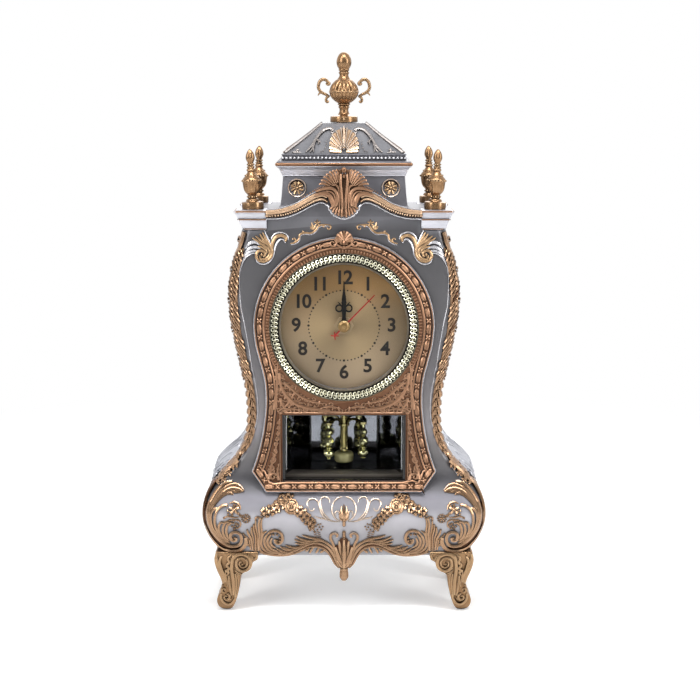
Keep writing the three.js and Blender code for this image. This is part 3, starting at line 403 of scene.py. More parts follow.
# dark brown laid under the scroll ribs and behind the apron leaves: painted shade between them
scrollDeep = castFinish("scrollDeep", (70, 43, 27), (22, 12, 7), (128, 86, 58), 0.7, 0.36, highlightAmount=0.2)
antiqueGold = castFinish("antiqueGold", (148, 113, 79), (46, 28, 16), (236, 204, 162), 0.78, 0.28,
                         reach=0.0032, highlightAmount=0.35)
scrollGold = castFinish("scrollGold", (108, 73, 49), (30, 16, 9), (240, 200, 160), 0.78, 0.26,
                        reach=0.0042, highlightAmount=0.55)
columnGold = castFinish("columnGold", (150, 138, 92), (30, 26, 12), (220, 214, 160), 0.95, 0.1, depth=0.8,
                        highlightAmount=0.2)
flankSilver = castFinish("flankSilver", (186, 187, 194), (62, 60, 68), (236, 236, 242), 0.5, 0.3, highlightAmount=0.5)
copperGold = castFinish("copperGold", (116, 80, 56), (34, 18, 10), (216, 172, 138), 0.76, 0.29,
                        reach=0.003, highlightAmount=0.4)
# darker copper gold: painted shade on the surround plate, the ground between its ornaments; the fine flutes
# share it
copperDeep = castFinish("copperDeep", (106, 71, 50), (30, 16, 9), (190, 146, 112), 0.7, 0.34, reach=0.003,
                        highlightAmount=0.25)
# dark brown for grooves and for the ground behind the rosette petals: painted shade in the recesses
grooveBrown = castFinish("grooveBrown", (40, 22, 14), (16, 8, 5), (60, 38, 26), 0.3, 0.5, highlightAmount=0)
rotorBrass = plainFinish("rotorBrass", (236, 230, 172), (206, 196, 136), 0.4, 0.22)
trimGold = castFinish("trimGold", (116, 79, 54), (58, 34, 21), (240, 200, 160), 0.78, 0.26, reach=0.0028,
                      highlightAmount=0.5)
pedimentGold = castFinish("pedimentGold", (116, 83, 59), (36, 20, 12), (238, 202, 166), 0.76, 0.29,
                          reach=0.003, highlightAmount=0.75)
roofLine = castFinish("roofLine", (132, 125, 122), (58, 52, 52), (216, 208, 202), 0.6, 0.3, highlightAmount=0.3)
nutBrass = plainFinish("nutBrass", (166, 143, 110), (154, 132, 101), 0.2, 0.5)
brightGold = castFinish("brightGold", (246, 243, 214), (112, 100, 62), (255, 253, 240), 0.7, 0.2,
                        depth=0.75, highlightAmount=0.2)
rotorGold = castFinish("rotorGold", (224, 220, 166), (52, 48, 22), (250, 248, 214), 0.95, 0.12, depth=0.6,
                       highlightAmount=0.2)
ringSteel = plainFinish("ringSteel", (120, 112, 98), (92, 84, 72), 0.7, 0.3)
mirrorSheet = plainFinish("mirrorSheet", (176, 176, 180), (168, 168, 172), 1, 0.05, 0.02, 0.01)
blackGloss = plainFinish("blackGloss", (26, 23, 21), (16, 15, 14), 0, 0.2, 0.05)
litSillGrey = plainFinish("litSillGrey", (84, 79, 72), (66, 61, 56), 0, 0.4)
blackMatt = plainFinish("blackMatt", (34, 33, 34), (24, 24, 26), 0, 0.55)
handLacquer = plainFinish("handLacquer", (18, 14, 12), (10, 9, 9), 0.2, 0.3, 0.05)
redLacquer = plainFinish("redLacquer", (158, 8, 8), (140, 6, 6), 0, 0.32, 0.05)
cellSleeve = plainFinish("cellSleeve", (60, 75, 90), (50, 62, 76), 0.3, 0.35)
clearSheet = glassFinish("clearSheet", (252, 252, 252), 0.02)
print("finishes ready")


# shaping helpers

def pick(*objects):
    if bpy.context.object and bpy.context.object.mode != 'OBJECT':
        bpy.ops.object.mode_set(mode='OBJECT')
    bpy.ops.object.select_all(action='DESELECT')
    for obj in objects:
        obj.select_set(True)
    if objects:
        bpy.context.view_layer.objects.active = objects[0]


def editAll():
    bpy.ops.object.mode_set(mode='EDIT')
    bpy.ops.mesh.select_all(action='SELECT')


def leaveEdit():
    bpy.ops.object.mode_set(mode='OBJECT')


def settle(obj):
    pick(obj)
    bpy.ops.object.transform_apply(location=True, rotation=True, scale=True)
    return obj


def applyAll(obj):
    pick(obj)
    for modifier in list(obj.modifiers):
        bpy.ops.object.modifier_apply(modifier=modifier.name)
    return obj


def cleaned(obj, merge=1e-6):
    pick(obj)
    editAll()
    bpy.ops.mesh.remove_doubles(threshold=merge)
    bpy.ops.mesh.normals_make_consistent(inside=False)
    leaveEdit()
    return obj


def joined(*objects):
    pick(*objects)
    if len(objects) > 1:
        bpy.ops.object.join()
    return bpy.context.object


def copied(obj):
    pick(obj)
    bpy.ops.object.duplicate(linked=False)
    return bpy.context.object


def mirrored(obj):
    twin = copied(obj)
    twin.scale[0] = -1
    settle(twin)
    return cleaned(twin)


def bevelled(obj, width, segments=2, angle=30):
    modifier = obj.modifiers.new("bevel", 'BEVEL')
    modifier.width = width
    modifier.segments = segments
    modifier.limit_method = 'ANGLE'
    modifier.angle_limit = math.radians(angle)
    return applyAll(obj)


def finishPiece(obj, name, finish, body="case", standsFor=(), angle=40):
    settle(obj)
    obj.name = name
    obj.data.name = name
    obj.data.materials.clear()
    obj.data.materials.append(finish)
    pick(obj)
    bpy.ops.object.shade_smooth_by_angle(angle=math.radians(angle))
    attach(obj, body)
    if standsFor:
        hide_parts(*standsFor)
    return obj


def coatNode(finish, *nodes):
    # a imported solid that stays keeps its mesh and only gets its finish
    for node in nodes:
        materials = frame["nodes"][node].data.materials
        materials.clear()
        materials.append(finish)


# lines and profiles, in millimetres

def softLine(points, count):
    # a smooth line through the points, end to end
    ends = [points[0]] + list(points) + [points[-1]]
    made = []
    spans = len(points) - 1
    for i in range(count + 1):
        at = min(i / count * spans, spans - 1e-6)
        n = int(at)
        t = at - n
        p0, p1, p2, p3 = ends[n:n + 4]
        made.append(tuple(
            0.5 * (2 * b + (c - a) * t + (2 * a - 5 * b + 4 * c - d) * t * t
                   + (3 * b - a - 3 * c + d) * t ** 3) for a, b, c, d in zip(p0, p1, p2, p3)))
    return made


def drawWire(name, points, closed=False):
    # one corner is pushed along from point to point, as with E in edit mode
    pick()
    bpy.ops.mesh.primitive_plane_add(size=mm)
    wire = bpy.context.object
    wire.name = name
    editAll()
    bpy.ops.mesh.merge(type='CENTER')
    bpy.ops.mesh.select_all(action='SELECT')
    at = Vector(points[0]) * mm
    bpy.ops.transform.translate(value=at)
    for point in points[1:]:
        there = Vector(point) * mm
        bpy.ops.mesh.extrude_region_move(TRANSFORM_OT_translate={"value": there - at})
        at = there
    bpy.ops.mesh.select_all(action='SELECT')
    if closed:
        bpy.ops.mesh.edge_face_add()
    leaveEdit()
    return wire


def spunPiece(name, points, axis, centre, steps):
    piece = drawWire(name, points)
    editAll()
    bpy.ops.mesh.spin(steps=steps, angle=2 * math.pi, center=(0, 0, 0), axis=axis)
    leaveEdit()
    cleaned(piece, 2e-6)
    piece.location = Vector(centre) * mm
    return settle(piece)


def turnedPiece(name, profile, centre=(0, 0, 0), steps=32):
    # turned about an upright axis; profile is (radius, height)
    return spunPiece(name, [(r, 0, z) for r, z in profile], (0, 0, 1), centre, steps)


def facedPiece(name, profile, centre, steps=64):
    # turned about an axis that points to the front; profile is (radius, depth towards the back)
    return spunPiece(name, [(r, y, 0) for r, y in profile], (0, 1, 0), centre, steps)


def hoop(inner, outer, near, far):
    # the closed profile of a flat ring
    return [(inner, near), (outer, near), (outer, far), (inner, far), (inner, near)]


def cutPanel(name, outline, front, back):
    # a flat outline in X and Z pushed from front to back
    panel = drawWire(name, [(x, front, z) for x, z in outline], closed=True)
    editAll()
    bpy.ops.mesh.extrude_region_move(TRANSFORM_OT_translate={"value": (0, (back - front) * mm, 0)})
    leaveEdit()
    return cleaned(panel)


def slab(name, half, low, high, front, back):
    # an upright board as wide to the left as to the right
    return cutPanel(name, [(-half, low), (half, low), (half, high), (-half, high)], front, back)


# scrollwork

def curl(cx, cz, start, end, startTurn, endTurn, count=9):
    # points of a spiral from one radius to another; turns in degrees, anticlockwise
    made = []
    for i in range(count):
        t = i / (count - 1)
        radius = start + (end - start) * t
        turn = math.radians(startTurn + (endTurn - startTurn) * t)
        made.append((cx + radius * math.cos(turn), cz + radius * math.sin(turn)))
    return made


def leafFinger(base, tip, width, bend=0.0, lift=0.0):
    (x0, z0), (x1, z1) = base, tip
    mid = ((x0 + x1) / 2 - (z1 - z0) * bend, (z0 + z1) / 2 + (x1 - x0) * bend)
    return ([base, mid, tip], [width * 0.3, width * 0.55, width * 0.12], lift)


def spray(base, heading, length, fingers=5, spread=100, width=1.4, bend=0.12, lift=0.0):
    # a fan of fingers round one heading, the middle one longest
    made = []
    for i in range(fingers):
        side = 0 if fingers == 1 else 2 * i / (fingers - 1) - 1
        turn = math.radians(heading + side * spread / 2)
        reach = length * (1 - 0.38 * abs(side) ** 1.4)
        tip = (base[0] + reach * math.cos(turn), base[1] + reach * math.sin(turn))
        made.append(leafFinger(base, tip, width, bend * side, lift - 0.15 * abs(side)))
    return made


def frond(points, length, width, pairs=5, angle=42, lift=0.0):
    # a stem with side fingers that lean towards its tip
    line = softLine(points, 24)
    made = [(points, [width * 0.7] + [width * 0.6] * (len(points) - 2) + [width * 0.2], lift + 0.3)]
    for n in range(pairs):
        t = (n + 0.5) / pairs
        at = line[int(t * 23)]
        ahead = line[int(t * 23) + 1]
        along = math.degrees(math.atan2(ahead[1] - at[1], ahead[0] - at[0]))
        reach = length * (1 - 0.55 * t)
        for side in (1, -1):
            turn = math.radians(along + side * angle)
            tip = (at[0] + reach * math.cos(turn), at[1] + reach * math.sin(turn))
            made.append(leafFinger(at, tip, width, -0.14 * side, lift))
    return made


def flower(cx, cz, radius, petals=6, lift=0.6):
    made = []
    for n in range(petals):
        turn = math.radians(90 + 360 * n / petals)
        inner = (cx + 0.25 * radius * math.cos(turn), cz + 0.25 * radius * math.sin(turn))
        outer = (cx + radius * math.cos(turn), cz + radius * math.sin(turn))
        made.append(([inner, ((inner[0] + outer[0]) / 2, (inner[1] + outer[1]) / 2), outer],
                     [radius * 0.16, radius * 0.27, radius * 0.2], lift))
    made.append(bead(cx, cz, radius * 0.3, lift + 0.5))
    return made


def bead(cx, cz, radius, lift=0.5):
    return ([(cx, cz - radius * 0.85), (cx, cz), (cx, cz + radius * 0.85)],
            [radius * 0.35, radius, radius * 0.35], lift)


def strand(points, width, lift=0.0, head=0.4, tail=0.4):
    # one rounded rib that thins towards its ends
    radii = [width] * len(points)
    radii[0] *= head
    radii[-1] *= tail
    return (points, radii, lift)


def beadLine(points, count, radius, lift):
    return [bead(x, z, radius, lift) for x, z in softLine(points, count - 1)]


def mirroredLines(lines):
    return [([(-x, z) for x, z in points], widths, lift) for points, widths, lift in lines]


def bothSides(lines):
    return lines + mirroredLines(lines)


def rods(name, runs, sides, steps):
    # round-bevelled curves made one mesh; runs are (places, radii)
    data = bpy.data.curves.new(name, 'CURVE')
    data.dimensions = '3D'
    data.bevel_depth = mm
    data.bevel_resolution = sides
    data.resolution_u = steps
    data.use_fill_caps = True
    for places, radii in runs:
        spline = data.splines.new('BEZIER')
        spline.bezier_points.add(len(places) - 1)
        for n, (knot, place) in enumerate(zip(spline.bezier_points, places)):
            knot.co = place
            knot.handle_left_type = knot.handle_right_type = 'AUTO'
            knot.radius = radii[n] if n < len(radii) else radii[-1]
    piece = bpy.data.objects.new(name, data)
    scene.collection.objects.link(piece)
    pick(piece)
    bpy.ops.object.convert(target='MESH')
    return bpy.context.object


def carved(name, lines, flat=0.8, steps=3):
    # scrollwork drawn as rods in one plane and pressed flatter
    runs = [([(x * mm, -lift * mm, z * mm) for x, z in points], widths) for points, widths, lift in lines]
    piece = rods(name, runs, 1, steps)
    piece.scale[1] = flat
    return settle(piece)


def layOn(piece, surface):
    # the drawing's X and Z are on the surface, and its -Y is the height over it
    for vertex in piece.data.vertices:
        x, y, z = vertex.co
        vertex.co = Vector(surface(x / mm, z / mm, -y / mm)) * mm
    return piece


def finishPair(left, name, finish, standsFor=None):
    # a left piece and its mirror image on the right
    right = mirrored(left)
    for piece, side in ((left, "_left"), (right, "_right")):
        finishPiece(piece, name + side, finish, standsFor=[standsFor + side] if standsFor else ())


def ornament(name, lines, surface, finish, slot, standsFor=(), **form):
    # one drawing carved, laid on its surface and finished as a piece
    piece = layOn(carved(name, lines, **form), surface)
    return finishPiece(piece, name, finish, standsFor=standsFor)


def scattered(name, source, places):
    # copies of one small shape, each turned by its matrix, joined in a mesh of their own
    mesh = bpy.data.meshes.new(name)
    made = bmesh.new()
    for matrix in places:
        before = len(made.verts)
        made.from_mesh(source.data)
        made.verts.ensure_lookup_table()
        bmesh.ops.transform(made, matrix=matrix, verts=made.verts[before:])
    made.to_mesh(mesh)
    made.free()
    piece = bpy.data.objects.new(name, mesh)
    scene.collection.objects.link(piece)
    return piece


def scrap(*objects):
    for obj in objects:
        bpy.data.objects.remove(obj, do_unlink=True)


def pearlShape(radius, segments=8, rings=6):
    # half a small ball, round side to the front
    pick()
    bpy.ops.mesh.primitive_uv_sphere_add(segments=segments, ring_count=rings, radius=radius * mm)
    pearl = bpy.context.object
    editAll()
    bpy.ops.mesh.bisect(plane_co=(0, 0.3 * radius * mm, 0), plane_no=(0, 1, 0), clear_outer=True)
    leaveEdit()
    return pearl


# the case's own surfaces, in millimetres

caseForm = {
    "curves": [((71, 35.2), (76, 42.2), (81.2, 50), (81.2, 60)),
               ((81.2, 60), (81.2, 84), (56, 84), (56, 117)),
               ((56, 117), (56, 145), (66.2, 160), (66.2, 188)),
               ((66.2, 188), (66.2, 200), (61.5, 214), (58.5, 225))],
    "flat": 31, "swellFront": 10.05, "swellRear": 12, "swellTop": 84, "bellyZ": 60, "footZ": 35.2,
    "tuck": 0.36, "corner": 7, "topZ": 225,
}


def caseOutline(steps=24):
    made = []
    for n, (a, b, c, d) in enumerate(caseForm["curves"]):
        for i in range(0 if n == 0 else 1, steps + 1):
            t = i / steps
            made.append(tuple(
                (1 - t) ** 3 * p + 3 * t * (1 - t) ** 2 * q + 3 * t * t * (1 - t) * r + t ** 3 * s
                for p, q, r, s in zip(a, b, c, d)))
    return made


outlineTable = caseOutline()


def halfAt(z):
    if z <= outlineTable[0][1]:
        return outlineTable[0][0]
    for (x0, z0), (x1, z1) in zip(outlineTable, outlineTable[1:]):
        if z <= z1:
            return x0 + (x1 - x0) * (z - z0) / (z1 - z0)
    return outlineTable[-1][0]


def swellAt(z):
    if z >= caseForm["swellTop"]:
        return 0
    if z >= caseForm["bellyZ"]:
        above, whole = z - caseForm["bellyZ"], caseForm["swellTop"] - caseForm["bellyZ"]
        return (1 + math.cos(math.pi * above / whole)) / 2
    down = min((caseForm["bellyZ"] - z) / (caseForm["bellyZ"] - caseForm["footZ"]), 1)
    return 1 - caseForm["tuck"] * (1 - math.cos(math.pi / 2 * down))


def frontAt(z):
    return -caseForm["flat"] - caseForm["swellFront"] * swellAt(z)


def aroundCase(u, z, h):
    # u runs along the case's outline from the middle of the front; h stands out from it
    half = halfAt(z)
    front = frontAt(z)
    r = caseForm["corner"]
    side = 1 if u >= 0 else -1
    run = abs(u)
    level = half - r
    if run <= level:
        return (u, front - h, z)
    arc = (run - level) / r
    if arc <= math.pi / 2:
        return (side * (level + (r + h) * math.sin(arc)), front + r - (r + h) * math.cos(arc), z)
    return (side * (half + h), front + r + (run - level - r * math.pi / 2), z)


def onFront(x, z, h):
    # a place seen straight from the front; near the edge it goes round the corner
    half = halfAt(z)
    r = caseForm["corner"]
    level = half - r
    if abs(x) <= level:
        return aroundCase(x, z, h)
    reach = min((abs(x) - level) / (r + max(h, 0.6)), 1)
    u = level + r * math.asin(reach) + max(abs(x) - level - (r + max(h, 0.6)), 0)
    return aroundCase(math.copysign(u, x), z, h)


print("helpers ready")


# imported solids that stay

coatNode(caseSilver, "front_shell", "rear_shell", "base_plate", "service_lid")
coatNode(deckSilver, "top_deck", "attic_box")
coatNode(coveSilver, "roof_cornice")
coatNode(roofSilver, "roof_shell")
for corner in ("front_left", "front_right", "rear_left", "rear_right"):
    coatNode(coveSilver, "capital_" + corner)
    coatNode(antiqueGold, "finial_" + corner, "leg_" + corner)
coatNode(antiqueGold, "crown_urn", "urn_handle_left", "urn_handle_right", "rosette_left", "rosette_right",
         "corner_scroll_left", "corner_scroll_right", "apron_front")
coatNode(copperGold, "dial_surround", "pediment_left", "pediment_right", "crest_shell",
         "corner_trim_left", "corner_trim_right")
coatNode(brightGold, "chain_bezel", "centre_cap")
coatNode(ringSteel, "lens_ring")
coatNode(clearSheet, "dial_lens", "window_pane")
coatNode(antiqueGold, "dial_plate")
coatNode(handLacquer, "hour_hand", "minute_hand")
coatNode(redLacquer, "second_hand")
coatNode(smokedMirror, "mirror_back")
coatNode(mirrorSheet, "mirror_left", "mirror_right")
coatNode(blackGloss, "compartment_liner")
coatNode(columnGold, "rotor_column")
coatNode(rotorGold, "rotor_nut", "rotor_spindle_1", "rotor_spindle_2", "rotor_spindle_3",
         "rotor_spindle_4")
coatNode(blackMatt, "clock_movement", "set_knob", "pendulum_drive")
coatNode(nutBrass, "movement_nut")
coatNode(cellSleeve, "movement_battery", "pendulum_battery")
print("solids coated")


# attic, cornice and roof

def steppedBlock(name, levels, centre=(0, 0)):
    # a rectangle raised from level to level; levels are (half width, half depth, height)
    pick()
    halfX, halfY, z = levels[0]
    bpy.ops.mesh.primitive_plane_add(size=2 * mm, location=(0, 0, z * mm))
    piece = bpy.context.object
    piece.name = name
    piece.scale = (halfX, halfY, 1)
    settle(piece)
    editAll()
    for nextX, nextY, nextZ in levels[1:]:
        bpy.ops.mesh.extrude_region_move(TRANSFORM_OT_translate={"value": (0, 0, (nextZ - z) * mm)})
        bpy.ops.transform.resize(value=(nextX / halfX, nextY / halfY, 1), center_override=(0, 0, nextZ * mm))
        halfX, halfY, z = nextX, nextY, nextZ
    leaveEdit()
    piece.location = (centre[0] * mm, centre[1] * mm, 0)
    settle(piece)
    return cleaned(piece)


def tubes(name, lines, sides=2, steps=6):
    # rods through points in space; each line is (points, radii)
    runs = [([Vector(point) * mm for point in points], radii) for points, radii in lines]
    return cleaned(settle(rods(name, runs, sides, steps)), 1e-7)


roofForm = {
    "atticLevels": [(37, 25.8, 237), (37, 25.8, 238.2), (36.4, 25.3, 238.6), (35.6, 24.5, 246),
                    (34.9, 23.9, 255.3)],
    "coveLevels": [(35.2, 24.2, 255.5), (35.4, 24.4, 256.7), (35.9, 24.9, 256.9), (35.9, 24.9, 257.6),
                   (36.2, 25.2, 257.9), (36.4, 25.4, 258.8), (37, 26, 259.9), (38, 27, 260.6),
                   (38.5, 27.5, 260.8), (38.5, 27.5, 261.5)],
    "bandLevels": [(38.6, 27.6, 261.5), (39.1, 28.1, 261.7), (39.2, 28.2, 262.4), (39.0, 28, 263.1),
                   (38.5, 27.5, 263.3)],
    "shelfLevels": [(38.4, 27.4, 263.2), (38.1, 27.1, 263.8), (36.6, 25.6, 264.3), (35, 24, 264.4),
                    (35, 24, 267.2), (35.6, 24.6, 267.3), (35.6, 24.6, 268.1)],
    "slopeLevels": [(34.8, 23.8, 268.2), (34.2, 23.2, 268.5), (28.6, 18.9, 272.4), (20.5, 13.2, 278.8),
                    (13.3, 8.5, 285.0), (12.6, 8, 285.4)],
    "pearl": 0.92, "pearlStep": 2.3,
}


def slopeFront(x, z, h):
    # a place on the roof's front slope
    share = (z - 268.4) / 17
    return (x, -23.4 + 15.2 * share - h * 0.74, z + h * 0.67)


def ringPlaces(halfX, halfY, z, step):
    places = []
    countX = round(2 * halfX / step)
    countY = round(2 * halfY / step)
    for i in range(countX + 1):
        x = -halfX + 2 * halfX * i / countX
        places += [((x, -halfY, z), 0), ((x, halfY, z), 180)]
    for i in range(1, countY):
        y = -halfY + 2 * halfY * i / countY
        places += [((-halfX, y, z), -90), ((halfX, y, z), 90)]
    return [Matrix.Translation(Vector(place) * mm) @ Matrix.Rotation(math.radians(turn), 4, 'Z')
            for place, turn in places]


def makeRoof(form):
    attic = bevelled(steppedBlock("attic", form["atticLevels"]), 0.3 * mm)
    finishPiece(attic, "attic_panel", deckSilver, standsFor=["attic_box"])
    cove = bevelled(steppedBlock("cove", form["coveLevels"]), 0.15 * mm, 1)
    shelf = bevelled(steppedBlock("shelf", form["shelfLevels"]), 0.15 * mm, 1)
    finishPiece(cove, "cornice_cove", coveSilver, standsFor=["roof_cornice"])
    finishPiece(shelf, "cornice_shelf", deckSilver)
    band = bevelled(steppedBlock("band", form["bandLevels"]), 0.3 * mm, 2)
    finishPiece(band, "cornice_band", copperGold)
    pearl = pearlShape(form["pearl"])
    row = scattered("pearls", pearl, ringPlaces(35.1, 24.1, 265.8, form["pearlStep"]))
    scrap(pearl)
    finishPiece(row, "cornice_pearls", reliefSilver)
    slope = bevelled(steppedBlock("slope", form["slopeLevels"]), 0.5 * mm)
    finishPiece(slope, "roof_slopes", roofSilver, standsFor=["roof_shell"])
    hips = []
    for sideX in (-1, 1):
        for sideY in (-1, 1):
            foot = (sideX * 33.8, sideY * 22.8, 268.9)
            middle = (sideX * 20.6, sideY * 13.4, 278.9)
            head = (sideX * 12.9, sideY * 8.3, 285.2)
            hips.append(([foot, middle, head], [0.95, 0.85, 0.8]))
    finishPiece(tubes("hips", hips), "roof_hips", roofLine)
    edges = []
    for sideX in (-1, 1):
        for sideY in (-1, 1):
            edges.append(([(sideX * 34.6, sideY * 22, 268.9), (sideX * 29, sideY * 17.8, 273.2)],
                          [0.5, 0.3]))
    finishPiece(tubes("hipEdges", edges), "roof_hip_edges", copperGold)


def makeRoofRelief():
    base = (0, 269.2)
    gold = []
    edges = []
    for turn, reach in ((90, 13.8), (75, 13.2), (61, 12.4), (47, 11.4), (33, 10.2), (19, 9.2), (5, 8.6)):
        angle = math.radians(turn)
        out = (math.cos(angle), math.sin(angle))
        spots = [(base[0] + share * reach * out[0], base[1] + share * reach * out[1])
                 for share in (0.16, 0.55, 0.93)]
        gold.append((spots, [0.5, 1.15, 1.2], -0.1))
        # a thin pale line beside each rib: painted highlight on its edge
        angle = math.radians(turn + 7 if turn < 90 else 90)
        out = (math.cos(angle), math.sin(angle))
        spots = [(base[0] + share * reach * out[0], base[1] + share * reach * out[1])
                 for share in (0.2, 0.6, 1)]
        edges.append((spots, [0.22, 0.32, 0.42], 0.75))
    gold += mirroredLines(gold[1:])
    ornament("roof_palmette", gold, slopeFront, pedimentGold, "antique_gold")
    rows = edges + mirroredLines(edges[1:])
    ornament("roof_palmette_highlights", rows, slopeFront, paleGold, "antique_gold")
    half = [
        ([(-21.9, 269), (-18.4, 272.6), (-16.4, 276), (-13.8, 279.4), (-11, 281.6), (-8, 282.2),
          (-6.2, 281.4)],
         [0.25, 0.6, 0.7, 0.75, 0.75, 0.7, 0.55], 0.2),
        (curl(-6.4, 280.3, 1.1, 0.4, 80, 400, 7), [0.45, 0.45, 0.4, 0.4, 0.35, 0.3, 0.3], 0.3),
        ([(-17.2, 269), (-17.6, 272), (-16.6, 275.4), (-15, 278)], [0.2, 0.6, 0.6, 0.4], 0.2),
        ([(-19.6, 268.9), (-18, 271), (-16.9, 273.6)], [0.2, 0.5, 0.4], 0.2),
        ([(-15.8, 276.4), (-14.6, 274.9), (-14.9, 273.4)], [0.3, 0.42, 0.2], 0.2),
        ([(-14.8, 275.6), (-13.4, 274.4)], [0.4, 0.2], 0.2),
        (curl(-26.6, 269.9, 0.8, 0.3, 0, 300, 6), [0.4], 0.2),
        ([(-29.6, 269), (-28, 269.2), (-24.6, 268.9)], [0.2, 0.35, 0.15], 0.1),
    ]
    for x, z, r in ((-10.2, 273.2, 0.45), (-10.9, 271.4, 0.45), (-11.8, 269.9, 0.45), (-10.3, 275, 0.35),
                    (-13.2, 269.4, 0.4), (-3.4, 270.1, 0.55), (-1.6, 270.9, 0.5), (-2.1, 281.2, 0.45),
                    (-5.6, 276.4, 0.4)):
        half.append(bead(x, z, r, 0.4))
    lines = bothSides(half) + [bead(0, 270.4, 0.7, 0.9)]
    ornament("roof_scrolls", lines, slopeFront, roofLine, "silver_case")


makeRoof(roofForm)
makeRoofRelief()
print("roof ready")


# urn

urnForm = {
    "base": 285.7,
    "foot": [(0, 0), (7.9, 0), (8, 0.3), (8, 2.7), (7.6, 3.3), (5.8, 3.8), (4.2, 4.2), (3.3, 4.8),
             (2.8, 5.8), (2.6, 7), (2.8, 8), (3.3, 8.5), (3.2, 9.1), (2.9, 9.4), (3.4, 9.8), (3.7, 10.3),
             (3.4, 10.7), (3.2, 11.1), (0, 11.1)],
    "lower": [(0, 10.8), (3.6, 10.9), (5.3, 12), (7, 13.6), (8.1, 15.3), (8.5, 16.8), (8.5, 17.1),
              (0, 17.1)],
    "upper": [(0, 17.7), (8.6, 17.7), (8.5, 18.6), (7.9, 20.4), (6.9, 22), (5.3, 23.7), (4, 24.6),
              (0, 24.7)],
    "lip": [(0, 16.9), (8.5, 16.9), (8.8, 17.2), (8.8, 17.7), (8.5, 18), (0, 18)],
    "knop": [(0, 24.2), (4.2, 24.3), (3.5, 25.2), (2.8, 26.3), (2.6, 27.3), (2.9, 27.9), (3.1, 28.4),
             (2.9, 28.9), (2.5, 29.1), (2.8, 29.4), (3.1, 29.9), (3, 30.4), (3.2, 30.9), (3.9, 32.2),
             (4.35, 34), (4.25, 35.6), (3.7, 37.4), (2.7, 39), (1.4, 40), (0, 40.3)],
    "handle": [(8.2, 21.4), (9.6, 23.4), (11.6, 24.6), (13.6, 23.9), (14.8, 21.4), (14.6, 18.9),
               (12.8, 17), (10.4, 15.8), (8.4, 14.4)],
}


def fluted(piece, count, depth, low, high):
    # presses upright flutes into a turned bowl, fading at its ends
    for vertex in piece.data.vertices:
        x, y, z = vertex.co
        share = (z / mm - low) / (high - low)
        if not 0 < share < 1:
            continue
        turn = math.atan2(y, x)
        press = 1 - depth * math.sin(math.pi * share) ** 0.5 * (1 - abs(math.sin(count * turn / 2)) ** 0.6)
        vertex.co.x *= press
        vertex.co.y *= press
    return piece


def makeUrn(form):
    base = form["base"]
    at = (0, 0, base)
    foot = turnedPiece("urnFoot", softProfile(form["foot"]), at, 40)
    knop = turnedPiece("urnKnop", softProfile(form["knop"]), at, 40)
    lip = turnedPiece("urnLip", form["lip"], at, 40)
    lower = fluted(turnedPiece("urnLower", softProfile(form["lower"]), at, 96), 22, 0.13, base + 10.8,
                   base + 17)
    upper = fluted(turnedPiece("urnUpper", softProfile(form["upper"]), at, 96), 18, 0.16, base + 17.7,
                   base + 25)
    plug = facedPiece("urnStar", [(0, -8.3), (0.5, -8.2), (0.9, -7.6), (0.9, -7.2), (0, -7.2)],
                      (0, 0, base + 1.6), 12)
    urn = joined(foot, lower, lip, upper, knop, plug)
    finishPiece(urn, "crown_urn_dressed", antiqueGold, standsFor=["crown_urn"], angle=50)
    for side, sign in (("left", -1), ("right", 1)):
        def route(points):
            return [(sign * x, 0, base + z) for x, z in points]
        lines = [
            (route(form["handle"]), [0.75, 0.9, 1, 1, 0.95, 0.95, 0.9, 0.85, 0.8]),
            (route([(10.4, 22.6), (9.6, 21.6), (8.6, 21.8), (8.8, 23), (9.9, 22.8)]),
             [0.5, 0.7, 0.7, 0.6, 0.4]),
            (route([(12.6, 17.2), (14.2, 16.6), (15.2, 15.2)]), [0.6, 0.6, 0.2]),
            (route([(9.2, 15), (10.4, 13.2), (9.8, 11.6), (8.8, 12.2)]), [0.7, 0.8, 0.85, 0.5]),
            (route([(11.4, 24.4), (12.6, 25), (13.2, 25.3)]), [0.5, 0.45, 0.2]),
        ]
        handle = tubes("handle", lines, 2, 5)
        finishPiece(handle, "urn_handle_scroll_" + side, antiqueGold,
                    standsFor=["urn_handle_" + side], angle=60)


def softProfile(points, extra=3):
    # rounds a turned profile without losing its corners at the axis
    if len(points) < 5:
        return points
    core = points[1:-1]
    line = softLine(core, (len(core) - 1) * extra)
    return [points[0]] + line + [points[-1]]


makeUrn(urnForm)
print("urn ready")


# rosettes, capitals and finials

def makeRosettes():
    for side, sign in (("left", -1), ("right", 1)):
        x, z = sign * 26.8, 248.8
        back = -23.9

        def flatWall(px, pz, h):
            return (px, back - h, pz)
        lines = []
        for n in range(8):
            turn = math.radians(45 * n + 22.5)
            lines.append(([(x + 1.1 * math.cos(turn), z + 1.1 * math.sin(turn)),
                           (x + 2.3 * math.cos(turn), z + 2.3 * math.sin(turn)),
                           (x + 3.7 * math.cos(turn), z + 3.7 * math.sin(turn))], [0.4, 0.75, 0.8], 0.5))
            lines.append(bead(x + 3.2 * math.cos(turn + 0.39), z + 3.2 * math.sin(turn + 0.39), 0.45, 0.5))
        lines.append(bead(x, z, 1.0, 1.2))
        petals = layOn(carved("rosetteLeaves", lines, steps=2), flatWall)
        # a dark brown plate behind the petals: painted shade between them
        plate = facedPiece("rosettePlate", [(0, -0.3), (4.6, -0.3), (4.7, 0), (0, 0)], (x, back, z), 36)
        rim = facedPiece("rosetteRim",
                         [(4.6, -0.1), (4.7, -0.9), (5.0, -1.1), (5.3, -0.8), (5.35, 0), (4.6, -0.1)],
                         (x, back, z), 36)
        finishPiece(petals, "rosette_flower_" + side, antiqueGold,
                    standsFor=["rosette_" + side])
        finishPiece(plate, "rosette_bed_" + side, grooveBrown)
        finishPiece(rim, "rosette_rim_" + side, paleGold)


